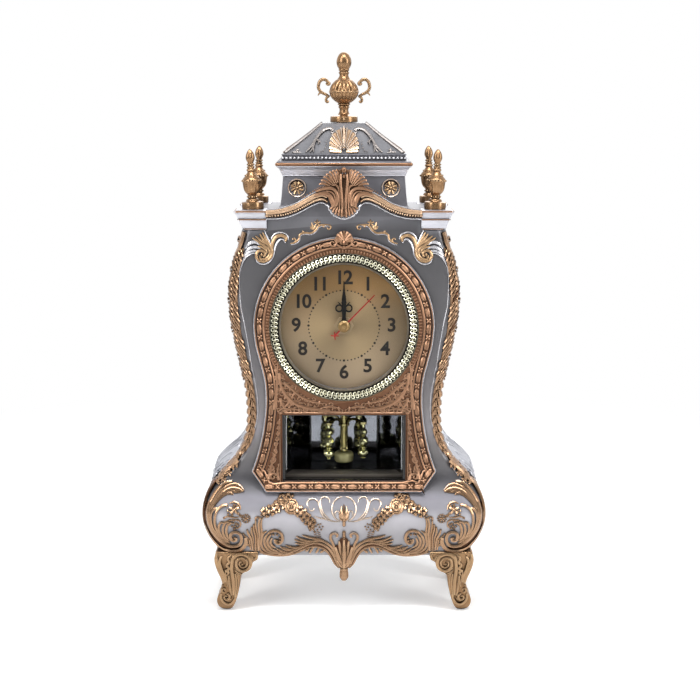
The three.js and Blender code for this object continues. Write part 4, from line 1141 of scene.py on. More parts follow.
capitalForm = {
    "inner": 44, "outer": 62, "front": 36, "rear": 16.5,
    "tiers": [(5.2, 225.3), (4.9, 226.2), (3.9, 226.4), (2.9, 229.3), (2.4, 230.8), (2.2, 231),
              (1.8, 231.2), (1.8, 231.9), (2.1, 232.1), (1.5, 232.6), (0.7, 234.6), (0.4, 235),
              (0, 235.3), (0, 236.4), (0.4, 236.7)],
}


def makeCapital(form):
    # the two inner sides stand upright; the two outer sides step out towards the top
    inner, outer, front, rear = form["inner"], form["outer"], form["front"], form["rear"]
    inset, z = form["tiers"][0]
    pick()
    bpy.ops.mesh.primitive_plane_add(size=2 * mm)
    piece = bpy.context.object
    width = outer - inset - inner
    depth = front - inset - rear
    piece.scale = (width / 2, depth / 2, 1)
    piece.location = ((inner + width / 2) * mm, -(rear + depth / 2) * mm, z * mm)
    settle(piece)
    editAll()
    for nextInset, nextZ in form["tiers"][1:]:
        nextWidth = outer - nextInset - inner
        nextDepth = front - nextInset - rear
        bpy.ops.mesh.extrude_region_move(TRANSFORM_OT_translate={"value": (0, 0, (nextZ - z) * mm)})
        bpy.ops.transform.resize(value=(nextWidth / width, nextDepth / depth, 1),
                                 center_override=(inner * mm, -rear * mm, nextZ * mm))
        width, depth, z = nextWidth, nextDepth, nextZ
    leaveEdit()
    return bevelled(cleaned(piece), 0.15 * mm, 1)


finialForm = {
    "x": 52, "y": 26.5, "base": 237,
    "profile": [(0, 0), (6.1, 0), (6.2, 0.4), (6.2, 3.4), (5.8, 4.2), (4, 4.6), (3.6, 5.4), (3.2, 5.9),
                (2.4, 6.3), (2.5, 7), (2.4, 7.8), (2.9, 8.7), (4, 9.9), (4.7, 11.6), (5, 13.6),
                (5.15, 15.4), (5.3, 16.4), (5.1, 17.2), (4.4, 18.1), (3.4, 19.2), (2.6, 20.4), (2, 21.4),
                (2.5, 22.1), (2.4, 22.8), (1.8, 23.4), (1.6, 24.4), (1.7, 25.6), (1.6, 26.4), (2.1, 27.3),
                (2.7, 28.5), (2.8, 29.9), (2.4, 31.5), (1.6, 32.9), (0.7, 33.9), (0, 34.3)],
    "rings": [(22, 5.3, 16.4, 0.55), (12, 2.6, 7.2, 0.6), (10, 1.85, 24, 0.5), (10, 1.85, 25.5, 0.5),
              (8, 3.3, 19.4, 0.55)],
    "lean": {"front": -2.6, "rear": 1.7},
}


def makeFinial(form):
    body = turnedPiece("finialBody", softProfile(form["profile"], 2), steps=40)
    fluted(body, 14, 0.16, 8.6, 15.8)
    fluted(body, 4, 0.2, 27, 34.4)
    pearl = pearlShape(1, 6, 6)
    ringed = []
    for count, radius, z, size in form["rings"]:
        for n in range(count):
            turn = Matrix.Rotation(2 * math.pi * n / count, 4, 'Z')
            ringed.append(turn @ Matrix.Translation(Vector((0, -radius, z)) * mm) @ Matrix.Scale(size, 4))
    row = scattered("finialPearls", pearl, ringed)
    scrap(pearl)
    return joined(body, row)


def makeCorners():
    capital = makeCapital(capitalForm)
    inlay = steppedBlock("inlay", [(7.6, 8.1, 236.6), (7.6, 8.1, 236.9)], (53.6, -27))
    trimLine = tubes("capitalTrim",
                     [
        ([(44.3, -35.9, 236.1), (61.5, -35.9, 236.1)], [0.55, 0.55]),
        ([(61.9, -35.5, 236.1), (61.9, -17, 236.1)], [0.55, 0.55]),
        ([(44.3, -34.1, 231.5), (59.8, -34.1, 231.5)], [0.4, 0.4]),
        ([(60.2, -33.8, 231.5), (60.2, -17, 231.5)], [0.4, 0.4]),
        ([(44.3, -31.2, 226), (56.8, -31.2, 226)], [0.35, 0.35])], 2, 1)
    finial = makeFinial(finialForm)
    for side, sign in (("left", -1), ("right", 1)):
        for end, way in (("front", 1), ("rear", -1)):
            name = end + "_" + side
            block, plate, line = copied(capital), copied(inlay), copied(trimLine)
            for part in (block, plate, line):
                part.scale = (sign, way, 1)
                settle(part)
                cleaned(part)
            finishPiece(joined(block, plate), "capital_steps_" + name, coveSilver,
                        standsFor=["capital_" + name])
            finishPiece(line, "capital_edges_" + name, copperGold)
            top = copied(finial)
            top.location = Vector((sign * finialForm["x"], -way * finialForm["y"],
                                   finialForm["base"] - 0.15)) * mm
            top.rotation_euler = (0, math.radians(-sign * finialForm["lean"][end]), 0)
            finishPiece(top, "finial_vase_" + name, antiqueGold,
                        standsFor=["finial_" + name])
    scrap(capital, inlay, trimLine, finial)


makeRosettes()
makeCorners()
print("corners ready")


# case

caseShape = {"levels": 76, "wall": 2.7, "rear": 31, "window": (35.8, 79.4, 118.9), "dialHole": (36.8, 169.7),
             "service": (33, 127, 205), "flankSwell": 5.4, "flankZ": 86, "flankRise": 13}


def rearAt(z):
    return caseShape["rear"] + caseForm["swellRear"] * swellAt(z)


def flankOut(z):
    away = min(abs(z - caseShape["flankZ"]) / caseShape["flankRise"], 1)
    return caseShape["flankSwell"] * (1 + math.cos(math.pi * away)) / 2


def ringShares():
    # even places along the outline of one level: flats and round corners, each with its own count
    shares = []
    for side in range(4):
        flats = 20 if side % 2 == 0 else 12
        shares += [(side, "flat", n / flats) for n in range(flats)]
        shares += [(side, "corner", n / 8) for n in range(8)]
    return shares


def ringSpot(share, z):
    side, kind, t = share
    half, r = halfAt(z), caseForm["corner"]
    front, rear = frontAt(z), rearAt(z)
    corners = [(-half + r, front + r), (half - r, front + r), (half - r, rear - r), (-half + r, rear - r)]
    turns = (-90, 0, 90, 180)
    if kind == "flat":
        (x0, y0), (x1, y1) = corners[side], corners[(side + 1) % 4]
        turn = math.radians(turns[side])
        out = r + (flankOut(z) * (1 - (2 * t - 1) ** 2) ** 0.7 if side % 2 == 1 else 0)
        return (x0 + (x1 - x0) * t + out * math.cos(turn), y0 + (y1 - y0) * t + out * math.sin(turn), z)
    x, y = corners[(side + 1) % 4]
    turn = math.radians(turns[side] + 90 * t)
    return (x + r * math.cos(turn), y + r * math.sin(turn), z)


def makeShell(shape):
    shares = ringShares()
    levels = shape["levels"]
    pick()
    bpy.ops.mesh.primitive_grid_add(x_subdivisions=len(shares), y_subdivisions=levels, size=1)
    piece = bpy.context.object
    low, high = caseForm["footZ"], caseForm["topZ"]
    for vertex in piece.data.vertices:
        n = round((vertex.co.x + 0.5) * len(shares))
        z = low + (vertex.co.y + 0.5) * (high - low)
        vertex.co = Vector(ringSpot(shares[n % len(shares)], z)) * mm
    cleaned(piece, 5e-6)
    modifier = piece.modifiers.new("wall", 'SOLIDIFY')
    modifier.thickness = shape["wall"] * mm
    modifier.offset = -1
    applyAll(piece)
    return cleaned(piece, 1e-6)


def combined(piece, operation, others):
    for other in others:
        modifier = piece.modifiers.new("combine", 'BOOLEAN')
        modifier.operation = operation
        modifier.solver = 'EXACT'
        modifier.object = other
        pick(piece)
        bpy.ops.object.modifier_apply(modifier=modifier.name)
    return piece


def addTo(piece, *others):
    return combined(piece, 'UNION', others)


def cutAway(piece, *cutters):
    return combined(piece, 'DIFFERENCE', cutters)


def makeCase(shape):
    shell = makeShell(shape)
    front = -caseForm["flat"]
    arch = softLine([(-44, 232.6), (-37, 233.6), (-28.1, 236.6), (-19, 241), (-9, 245.5), (0, 248),
                     (9, 245.5), (19, 241), (28.1, 236.6), (37, 233.6), (44, 232.6)], 30)
    panel = cutPanel("tympanum", [(-44, 212)] + arch + [(44, 212)], front, front + 2.8)
    addTo(shell, panel)
    halfWindow, lowZ, highZ = shape["window"]
    room = slab("room", halfWindow, lowZ, highZ, -60, -20)
    radius, centreZ = shape["dialHole"]
    hole = facedPiece("hole", [(0, -60), (radius, -60), (radius, -20), (0, -20)], (0, 0, centreZ), 96)
    halfService, lowService, highService = shape["service"]
    service = slab("service", halfService, lowService, highService, 20, 60)
    cutAway(shell, room, hole, service)
    scrap(panel, room, hole, service)
    finishPiece(shell, "case_shell", caseSilver, standsFor=["front_shell", "rear_shell"],
                angle=35)
    low = cleaned(slab("deckBody", 57.6, 225.2, 236.7, -16, 16))
    wide = slab("deckMiddle", 43.7, 225.2, 236.7, -28.4, 31)
    addTo(low, wide)
    scrap(wide)
    finishPiece(low, "deck_block", deckSilver, standsFor=["top_deck"])


makeCase(caseShape)
print("case ready")


# dial surround

surroundForm = {
    "back": -31.1, "edgeFront": -35.3, "front": -35.9, "holeRadius": 42.9, "centreZ": 169.7,
    "radius": 52.1, "foot": (45.4, 73.0), "flank": [(53.8, 84.9), (50.7, 93.6), (47.9, 104.8),
                                                    (46.1, 116.2), (45.3, 127.4), (46, 138.7),
                                                    (48.7, 150), (51.1, 160), (52.1, 169.7)],
    "window": (35.7, 79.3, 118.7), "ovalStep": 9.6, "lean": (84.9, 2.4), "flutes": 156,
    "fluteRadii": (42.95, 44, 45), "fluteRim": 45.75, "fluteEnd": -0.55,
}


def surroundLine(form, inset=0.0):
    (footX, footZ), (kneeX, kneeZ) = form["foot"], form["flank"][0]
    right = [(footX * share, footZ) for share in (0, 0.25, 0.5, 0.75, 0.96, 1)]
    right += [(footX + (kneeX - footX) * share, footZ + (kneeZ - footZ) * share)
              for share in (0.12, 0.5, 0.88)]
    right += softLine(form["flank"], 26)
    for i in range(1, 19):
        turn = math.radians(5 * i)
        right.append((form["radius"] * math.cos(turn), form["centreZ"] + form["radius"] * math.sin(turn)))
    loop = right + [(-x, z) for x, z in reversed(right[1:-1])]
    made = []
    for i, (x, z) in enumerate(loop):
        before, after = Vector(loop[i - 1]), Vector(loop[(i + 1) % len(loop)])
        here = Vector((x, z))
        first, second = (here - before).normalized(), (after - here).normalized()
        across = Vector((-(first.y + second.y), first.x + second.x)).normalized()
        stretch = max(across.dot(Vector((-first.y, first.x))), 0.5)
        made.append(tuple(here + across * inset / stretch))
    return made


def walkLoop(loop, step):
    # even places along a closed line, each with its heading
    closed = loop + [loop[0]]
    lengths = [math.dist(a, b) for a, b in zip(closed, closed[1:])]
    count = round(sum(lengths) / step)
    spacing = sum(lengths) / count
    made = []
    n, gone = 0, 0.0
    for i in range(count):
        want = i * spacing
        while gone + lengths[n] < want:
            gone += lengths[n]
            n += 1
        t = (want - gone) / lengths[n]
        (x0, z0), (x1, z1) = closed[n], closed[n + 1]
        made.append((x0 + (x1 - x0) * t, z0 + (z1 - z0) * t, math.atan2(z1 - z0, x1 - x0)))
    return made


def leanAt(z):
    # the foot of the surround leans out over the belly
    form = surroundForm["lean"]
    return form[1] * max(0, form[0] - z) / (form[0] - surroundForm["foot"][1])


def leanedOut(piece):
    pick(piece)
    editAll()
    bpy.ops.mesh.bisect(plane_co=(0, 0, surroundForm["lean"][0] * mm), plane_no=(0, 0, 1))
    leaveEdit()
    for vertex in piece.data.vertices:
        vertex.co.y -= leanAt(vertex.co.z / mm) * mm
    return piece


def onSurround(x, z, h):
    return (x, surroundForm["front"] - h - leanAt(z), z)


def makeSurroundBody(form):
    front = form["front"]
    centre = form["centreZ"]
    halfWindow, lowZ, highZ = form["window"]
    hole = facedPiece("hole", [(0, -60), (form["holeRadius"], -60), (form["holeRadius"], -20), (0, -20)],
                      (0, 0, centre), 96)
    room = slab("room", halfWindow, lowZ, highZ, -60, -20)
    edge = cutAway(bevelled(cutPanel("edge", surroundLine(form), form["edgeFront"], form["back"]),
                            0.5 * mm), hole, room)
    # the plate in the darker copper: painted shade on the ground between the ornaments
    plate = cutAway(bevelled(cutPanel("plate", surroundLine(form, 0.75), front, form["back"] - 0.6),
                             0.45 * mm), hole, room)
    scrap(hole, room)
    leanedOut(edge)
    leanedOut(plate)
    finishPiece(edge, "surround_edge", reliefSilver)
    finishPiece(plate, "surround_plate", copperDeep, standsFor=["dial_surround"])


def surroundRuns(form, runs):
    # closed lines that follow the outline; runs are (inset, width, lift)
    made = []
    for inset, width, lift in runs:
        loop = surroundLine(form, inset)
        made.append((loop + [loop[0], loop[1]], [width], lift))
    return made


def makeSurroundBand(form):
    # ovals and crosses in turn between two fine ridges, with dark brown strands in three grooves as painted
    # shade
    lines = surroundRuns(form, ((5.75, 0.62, 0.15), (0.95, 0.3, 0.0)))
    grooves = surroundRuns(form, ((1.5, 0.6, -0.25), (4.95, 0.58, -0.25), (6.6, 0.4, -0.25)))
    ornament("surround_grooves", grooves, onSurround, grooveBrown, "copper_gold", flat=1.0, steps=2)
    for n, (x, z, heading) in enumerate(walkLoop(surroundLine(form, 3.45), form["ovalStep"] / 2)):
        along = (math.cos(heading), math.sin(heading))
        across = (-along[1], along[0])

        def spot(a, b):
            return (x + along[0] * a + across[0] * b, z + along[1] * a + across[1] * b)
        if n % 2 == 1:
            lines.append(([spot(reach, 0) for reach in (-3.1, -2.1, 0, 2.1, 3.1)],
                          [0.4, 1.25, 1.55, 1.25, 0.4], -0.3))
            for b in (-0.55, 0.55):
                lines.append(([spot(-2.3, b * 0.7), spot(0, b), spot(2.3, b * 0.7)], [0.15, 0.28, 0.15],
                              1.0))
        else:
            for a, b in ((-0.75, -0.75), (-0.75, 0.75), (0.75, -0.75), (0.75, 0.75)):
                lines.append((([spot(a * 0.3, b * 0.3), spot(a, b), spot(a * 1.5, b * 1.6)]),
                              [0.3, 0.52, 0.25], 0.3))
            lines.append(bead(*spot(0, 0), 0.5, 0.75))
    ornament("surround_band", lines, onSurround, copperGold, "copper_gold", flat=1.0, steps=2)


def makeSurroundFlutes(form):
    # short flutes round the bezel, none at its foot, and the ridge outside them
    centre, rim = form["centreZ"], form["fluteRim"]
    flutes = []
    for n in range(form["flutes"]):
        turn = math.radians(360 * n / form["flutes"] + 1)
        if math.sin(turn) < form["fluteEnd"]:
            continue
        flutes.append(([(r * math.cos(turn), centre + r * math.sin(turn)) for r in form["fluteRadii"]],
                       [0.35, 0.55, 0.35], 0.05))
    flutes.append(([(rim * math.cos(math.radians(t)), centre + rim * math.sin(math.radians(t)))
                    for t in range(-34, 215, 8)], [0.36], 0.1))
    ornament("surround_flutes", flutes, onSurround, copperDeep, "copper_gold", flat=1.0, steps=2)


def makeSurroundShell():
    # the small shell over the dial with a scroll to each side
    shell = []
    foot = (0, 219.4)
    for turn, reach in ((90, 5.9), (68, 5.8), (112, 5.8), (46, 5.6), (134, 5.6), (24, 5.3), (156, 5.3),
                        (4, 4.9), (176, 4.9)):
        angle = math.radians(turn)
        shell.append(([(foot[0] + share * reach * math.cos(angle), foot[1] + share * reach * math.sin(angle))
                       for share in (0.15, 0.6, 1)], [0.4, 0.85, 0.95], 0.9))
    side = [(curl(-6.4, 218.3, 2.3, 0.7, 60, -330, 9), [0.5, 0.6, 0.6, 0.55, 0.5, 0.45, 0.4, 0.4, 0.35],
             0.9),
            ([(-4.2, 217.6), (-1.9, 216.2), (0, 215.4)], [0.5, 0.7, 0.6], 0.9),
            ([(-8.6, 217.6), (-11.5, 217.2), (-14.6, 215.4)], [0.5, 0.6, 0.2], 0.6)]
    shell += bothSides(side) + [bead(0, 218.8, 1.4, 1.4), bead(0, 216.2, 0.8, 1.2)]
    ornament("surround_shell", shell, onSurround, copperGold, "copper_gold", flat=0.9)


def sprig(points, curls):
    # a thin stem with curls and one leaf beside each; curls are (share of the way, side, size)
    made = [(points, [0.3] + [0.55] * (len(points) - 2) + [0.2], 0.45)]
    line = softLine(points, 20)
    for t, side, size in curls:
        at, ahead = line[int(t * 19)], line[int(t * 19) + 1]
        heading = math.atan2(ahead[1] - at[1], ahead[0] - at[0]) + side * 1.1
        cx, cz = at[0] + size * math.cos(heading), at[1] + size * math.sin(heading)
        start = math.degrees(math.atan2(at[1] - cz, at[0] - cx))
        made.append((curl(cx, cz, size, size * 0.3, start, start - side * 330, 7),
                     [0.38, 0.46, 0.46, 0.42, 0.38, 0.34, 0.34], 0.5))
        lean = heading - side * 0.6
        tip = (cx + size * 1.3 * math.cos(lean), cz + size * 1.3 * math.sin(lean))
        made.append(leafFinger((cx, cz), tip, 0.8, 0.2, 0))
    return made


def spandrelLeaves():
    # sprigs and fronds of the left half, beside the dial and the window
    foliage = []
    foliage += sprig([(-37.4, 143.5), (-36.8, 136), (-33, 129), (-27.5, 124.6), (-19, 121.8), (-9, 120.9),
                      (-1.5, 120.6)],
                     [(0.1, 1, 1.5), (0.22, -1, 1.7), (0.34, 1, 1.9), (0.44, -1, 1.6), (0.56, 1, 1.5),
                      (0.66, -1, 1.2), (0.76, 1, 1.1), (0.86, -1, 0.9)])
    foliage += sprig([(-38.6, 120.6), (-34, 123.6), (-29.5, 130), (-27.4, 136.2)],
                     [(0.15, -1, 1.3), (0.3, 1, 1.5), (0.5, -1, 1.4), (0.7, 1, 1.2)])
    foliage += sprig([(-37.9, 150), (-38.6, 141), (-38.9, 130), (-38.8, 122)],
                     [(0.2, -1, 0.9), (0.5, -1, 1.0), (0.8, -1, 0.9)])
    for points, reach, width, pairs in (
            ([(-37.4, 143.5), (-36.4, 136), (-32.4, 129.6), (-26.6, 125), (-18, 122.6), (-8, 121.6)], 4.6,
             1.5, 10),
            ([(-40.8, 122), (-39.4, 130), (-38.6, 138), (-39.6, 147)], 3.0, 1.3, 7),
            ([(-35.6, 121.2), (-30.4, 122.6), (-25, 121.2)], 2.8, 1.2, 4),
            ([(-34.6, 138), (-29.6, 133.6), (-24.4, 129.4), (-18.6, 126.8), (-12, 125.4)], 3.0, 1.3, 8),
            ([(-36.8, 128.6), (-35.4, 124.4), (-31.6, 121.6)], 2.6, 1.2, 4),
            ([(-12, 123.4), (-7, 123.8), (-2, 122.4)], 2.2, 1.1, 3),
            ([(-43.6, 81), (-42.4, 88), (-40.4, 95), (-38.6, 104)], 2.6, 1.3, 8),
            ([(-38, 80.4), (-38.6, 85), (-37.6, 90)], 2.0, 1.2, 4)):
        foliage += frond(points, reach, width, pairs, 48, 0.3)
    return foliage


def spandrelCurls(form):
    # rows of small curls that fill the left spandrel, and larger ones down the window's side
    foliage = []
    for row in range(8):
        for n in range(10):
            x, z = -37.6 + 4 * n + 2 * (row % 2), 121.4 + 3.3 * row
            if x < -0.4 and math.hypot(x, z - form["centreZ"]) > 45.2:
                turn = 97 * n + 61 * row
                foliage.append((curl(x, z, 1.5, 0.4, turn, turn + 330, 6),
                                [0.34, 0.4, 0.38, 0.34, 0.3, 0.3], 0.25))
    for z, size, x in ((82.3, 2.1, -41.2), (87.6, 1.9, -42.2), (92.6, 1.7, -41.0), (97.2, 1.4, -40.0),
                       (101.3, 1.2, -39.3), (105, 1.1, -38.7), (108.4, 1, -38.2), (111.6, 0.9, -37.9),
                       (114.6, 0.8, -37.8)):
        turn = 200 if round(z * 10) % 2 == 0 else 20
        foliage.append((curl(x, z, size, size * 0.25, turn, turn + 400, 9),
                        [0.6, 0.7, 0.68, 0.62, 0.55, 0.5, 0.45, 0.4, 0.4], 0.85))
        foliage.append(leafFinger((x + size * 0.4, z + size), (x + 0.9, z + size * 1.9), 1.0, 0.15, 0.6))
    return foliage


def makeSurround(form):
    makeSurroundBody(form)
    makeSurroundBand(form)
    makeSurroundFlutes(form)
    makeSurroundShell()
    foliage = spandrelLeaves() + spandrelCurls(form)
    ornament("surround_foliage", bothSides(foliage), onSurround, copperGold, "copper_gold", flat=0.75,
             steps=2)


makeSurround(surroundForm)
print("surround ready")


# chain bezel, lens ring and dial

dialForm = {
    "centre": (0, 0, 169.7), "face": -27.75, "dotRadius": 20.5, "numeralRadius": 27.6, "numeralSize": 11,
    "links": 98, "chainRadius": 39.9,
}


def torusLink(major, minor):
    pick()
    bpy.ops.mesh.primitive_torus_add(major_radius=major * mm, minor_radius=minor * mm, major_segments=12,
                                     minor_segments=6)
    link = bpy.context.object
    link.rotation_euler = (math.pi / 2, 0, 0)
    return settle(link)


def makeChain(form):
    centre = form["centre"]
    bed = facedPiece("bed", [(37.8, -31.5), (37.8, -34.2), (38.2, -34.6), (41.6, -34.6), (42, -34.9),
                             (42, -31.5), (37.8, -31.5)], centre, 128)
    finishPiece(bed, "chain_bed", blackGloss, standsFor=["chain_bezel"])
    rim = facedPiece("rim", [(42.35, -31.6), (42.35, -35.8), (42.5, -36), (42.7, -35.8), (42.7, -31.6),
                             (42.35, -31.6)], centre, 128)
    link = torusLink(0.92, 0.36)
    places = []
    for n in range(form["links"]):
        turn = Matrix.Rotation(2 * math.pi * n / form["links"], 4, 'Y')
        out = Matrix.Translation(Vector((0, -36.1, form["chainRadius"] + 0.85)) * mm)
        tip = Matrix.Rotation(math.radians(30), 4, 'Z')
        places.append(Matrix.Translation(Vector(centre) * mm) @ turn @ out @ tip)
        half = Matrix.Rotation(2 * math.pi * (n + 0.5) / form["links"], 4, 'Y')
        low = Matrix.Translation(Vector((0, -35.7, form["chainRadius"] - 0.75)) * mm)
        lean = Matrix.Rotation(math.radians(-35), 4, 'Z')
        places.append(Matrix.Translation(Vector(centre) * mm) @ half @ low @ lean)
    chain = scattered("links", link, places)
    scrap(link)
    finishPiece(joined(rim, chain), "chain_links", brightGold, angle=60)


def makeLensRing(form):
    ring = facedPiece("ring", [(36.2, -34.75), (36.2, -35.1), (36.5, -35.4), (36.9, -35.5), (37.2, -35.4),
                               (37.35, -35.1), (37.35, -31.4), (37.05, -31.4), (37.05, -34.75),
                               (36.2, -34.75)], form["centre"], 128)
    finishPiece(ring, "lens_ring_turned", ringSteel, standsFor=["lens_ring"], angle=50)


def dialFinish():
    # champagne coat: warm at the top, paler low down, a lighter disc inside the minute dots, and a painted
    # sheen in sectors like light on sunray brushing
    material, tree, coat = startMaterial("dialCoat", 0.35)
    link = tree.links.new
    place = addNode(tree, "ShaderNodeTexCoord")
    shift = addNode(tree, "ShaderNodeVectorMath", {1: (0, -0.0277, 0.1697)}, operation='SUBTRACT')
    split = addNode(tree, "ShaderNodeSeparateXYZ")
    reach = addNode(tree, "ShaderNodeVectorMath", operation='LENGTH')
    inside = addNode(tree, "ShaderNodeMath", {1: 0.0203}, operation='LESS_THAN')
    turn = addNode(tree, "ShaderNodeMath", operation='ARCTAN2')
    rays = addNode(tree, "ShaderNodeMath", operation='SINE')
    double = addNode(tree, "ShaderNodeMath", {1: 3}, operation='MULTIPLY')
    height = addNode(tree, "ShaderNodeMapRange", {"From Min": -0.034, "From Max": 0.034})
    ramp = addNode(tree, "ShaderNodeValToRGB")
    spots = ramp.color_ramp.elements
    for n, (at, colour) in enumerate([(0, (160, 140, 116)), (0.35, (148, 128, 102)), (0.62, (144, 120, 90)),
                                      (0.84, (150, 116, 74)), (1, (142, 108, 68))]):
        spot = spots[n] if n < 2 else spots.new(at)
        spot.position = at
        spot.color = tone(*colour)
    disc = addNode(tree, "ShaderNodeMix", {"B": tone(152, 130, 97)}, data_type='RGBA')
    discAmount = addNode(tree, "ShaderNodeMath", {1: 0.7}, operation='MULTIPLY')
    # painted sheen: three lighter and three darker sectors round the dial
    sheen = addNode(tree, "ShaderNodeMapRange", {"From Min": -1, "To Min": 0.84, "To Max": 1.14})
    lit = addNode(tree, "ShaderNodeMix", {"Factor": 1}, data_type='RGBA', blend_type='MULTIPLY')
    link(place.outputs["Object"], shift.inputs[0])
    link(shift.outputs[0], split.inputs[0])
    link(shift.outputs[0], reach.inputs[0])
    link(reach.outputs["Value"], inside.inputs[0])
    link(inside.outputs[0], discAmount.inputs[0])
    link(split.outputs["Z"], height.inputs["Value"])
    link(height.outputs[0], ramp.inputs[0])
    link(split.outputs["X"], turn.inputs[0])
    link(split.outputs["Z"], turn.inputs[1])
    link(turn.outputs[0], double.inputs[0])
    link(double.outputs[0], rays.inputs[0])
    link(rays.outputs[0], sheen.inputs["Value"])
    link(ramp.outputs[0], disc.inputs["A"])
    link(discAmount.outputs[0], disc.inputs["Factor"])
    link(disc.outputs["Result"], lit.inputs["A"])
    link(sheen.outputs[0], lit.inputs["B"])
    link(lit.outputs["Result"], coat.inputs["Base Color"])
    addGrain(tree, coat, 0.42, 0.1, 1600, 0.05)
    return material


def makeDial(form):
    centre = form["centre"]
    plate = facedPiece("plate",
                       [(3.5, -26.75), (3.5, -27.7), (37.9, -27.7), (37.9, -26.75), (3.5, -26.75)],
                       centre, 96)
    finishPiece(plate, "dial_face", dialFinish(), standsFor=["dial_plate"])
    ink = plainFinish("dialInk", (24, 15, 10), (18, 11, 8), 0, 0.5)
    marks = []
    for n in range(60):
        turn = 2 * math.pi * n / 60
        size = 0.7 if n % 5 == 0 else 0.44
        dot = facedPiece("dot", [(0, -0.06), (size, -0.06), (size, 0), (0, 0)],
                         (form["dotRadius"] * math.sin(turn), form["face"] + 0.03,
                          centre[2] + form["dotRadius"] * math.cos(turn)), 12)
        marks.append(dot)
    for hour in range(1, 13):
        pick()
        bpy.ops.object.text_add()
        text = bpy.context.object
        text.data.body = str(hour)
        text.data.size = form["numeralSize"] * mm
        text.data.align_x = 'CENTER'
        text.data.align_y = 'CENTER'
        text.data.offset = 0.00028
        text.data.space_character = 0.9
        text.data.extrude = 0.04 * mm
        text.data.resolution_u = 4
        bpy.ops.object.convert(target='MESH')
        text = bpy.context.object
        turn = math.radians(30 * hour)
        text.rotation_euler = (math.pi / 2, 0, 0)
        text.location = Vector((form["numeralRadius"] * math.sin(turn), form["face"],
                                centre[2] + form["numeralRadius"] * math.cos(turn))) * mm
        marks.append(settle(text))
    finishPiece(joined(*marks), "dial_print", ink, angle=30)


makeChain(dialForm)
makeLensRing(dialForm)
makeDial(dialForm)
print("dial ready")


# hands

handForm = {"minute": (26.2, -30.35), "hour": (18.5, -29.55), "second": (25.3, -31.15), "secondTurn": 44}


def handLines(length, loopZ):
    lines = [
        ([(0, 2.4), (0, 5.4), (0, loopZ)], [1.5, 1.0, 1.4], 0),
        ([(0, loopZ - 1.6), (0, loopZ), (0, loopZ + 2.4), (0, loopZ + 5.2), (0, length * 0.8), (0, length)],
         [0.6, 1.5, 0.9, 1.3, 0.55, 0.28], 0),
    ]
    for side in (1, -1):
        lines.append((curl(side * 2.75, loopZ + 0.1, 1.9, 1.9, 0, 360, 9), [0.5], 0))
        lines.append(([(side * 1.6, loopZ + 1.6), (side * 2.6, loopZ + 2.9), (side * 3.5, loopZ + 3.6)],
                      [0.4, 0.34, 0.15], 0))
        lines.append(([(0, loopZ + 4.4), (side * 1.1, loopZ + 3.6), (side * 0.9, loopZ + 2.6)],
                      [0.5, 0.5, 0.3], 0))
    return lines


def makeHands(form):
    centreZ = dialForm["centre"][2]
    for name, loopZ, collar, bore in (("hour", 10.2, 3.7, 2.55), ("minute", 10.4, 3.5, 1.75)):
        length, middle = form[name]

        def plane(x, z, h):
            return (x, middle - h, centreZ + z)
        blades = layOn(carved(name, handLines(length, loopZ), flat=0.2), plane)
        disc = facedPiece("disc", hoop(bore, collar, middle - 0.2, middle + 0.2), (0, 0, centreZ), 32)
        hand = joined(disc, blades)
        finishPiece(hand, name + "_hand_pierced", handLacquer, body=name,
                    standsFor=[name + "_hand"])
    length, middle = form["second"]
    turn = math.radians(form["secondTurn"])

    def leaning(x, z, h):
        return (x * math.cos(turn) + z * math.sin(turn), middle - h,
                centreZ - x * math.sin(turn) + z * math.cos(turn))
    lines = [([(0, -8.4), (0, 0), (0, 12), (0, length)], [0.42, 0.5, 0.4, 0.3], 0),
             ([(-1.8, -9.2), (0, -7.6), (1.8, -6)], [0.3, 0.42, 0.3], 0),
             ([(1.8, -9.2), (0, -7.6), (-1.8, -6)], [0.3, 0.42, 0.3], 0),
             ([(-1.2, 20.4), (0, 20.4), (1.2, 20.4)], [0.15, 0.35, 0.15], 0)]
    needle = layOn(carved("needle", lines, flat=0.4), leaning)
    disc = facedPiece("disc", hoop(0.95, 2.1, middle - 0.2, middle + 0.2), (0, 0, centreZ), 24)
    finishPiece(joined(disc, needle), "second_hand_needle", redLacquer, body="second",
                standsFor=["second_hand"])
    cap = facedPiece("cap", [(0, -33.3), (1.1, -33.2), (2.1, -32.9), (2.9, -32.45), (3.4, -31.95),
                             (3.5, -31.7), (0, -31.7)], (0, 0, centreZ), 40)
    finishPiece(cap, "centre_cap_dome", capGold, body="second", standsFor=["centre_cap"])


makeHands(handForm)
print("hands ready")


# pediment and crest

pedimentForm = {
    "top": [(-44.2, 237.1), (-37, 238), (-28.1, 240.6), (-22.6, 243.7), (-17.4, 246.7), (-13, 248.4),
            (-9.8, 247.8)],
    "low": [(-44.2, 232.9), (-34.4, 233.5), (-26.3, 236.2), (-19.2, 240.0), (-14.4, 242), (-11.4, 241.9),
            (-9.6, 240.6)],
    "back": -31.2, "front": -35.2,
}


def between(form, share, count):
    top, low = softLine(form["top"], count), softLine(form["low"], count)
    return [(a[0] + (b[0] - a[0]) * share, a[1] + (b[1] - a[1]) * share) for a, b in zip(top, low)]


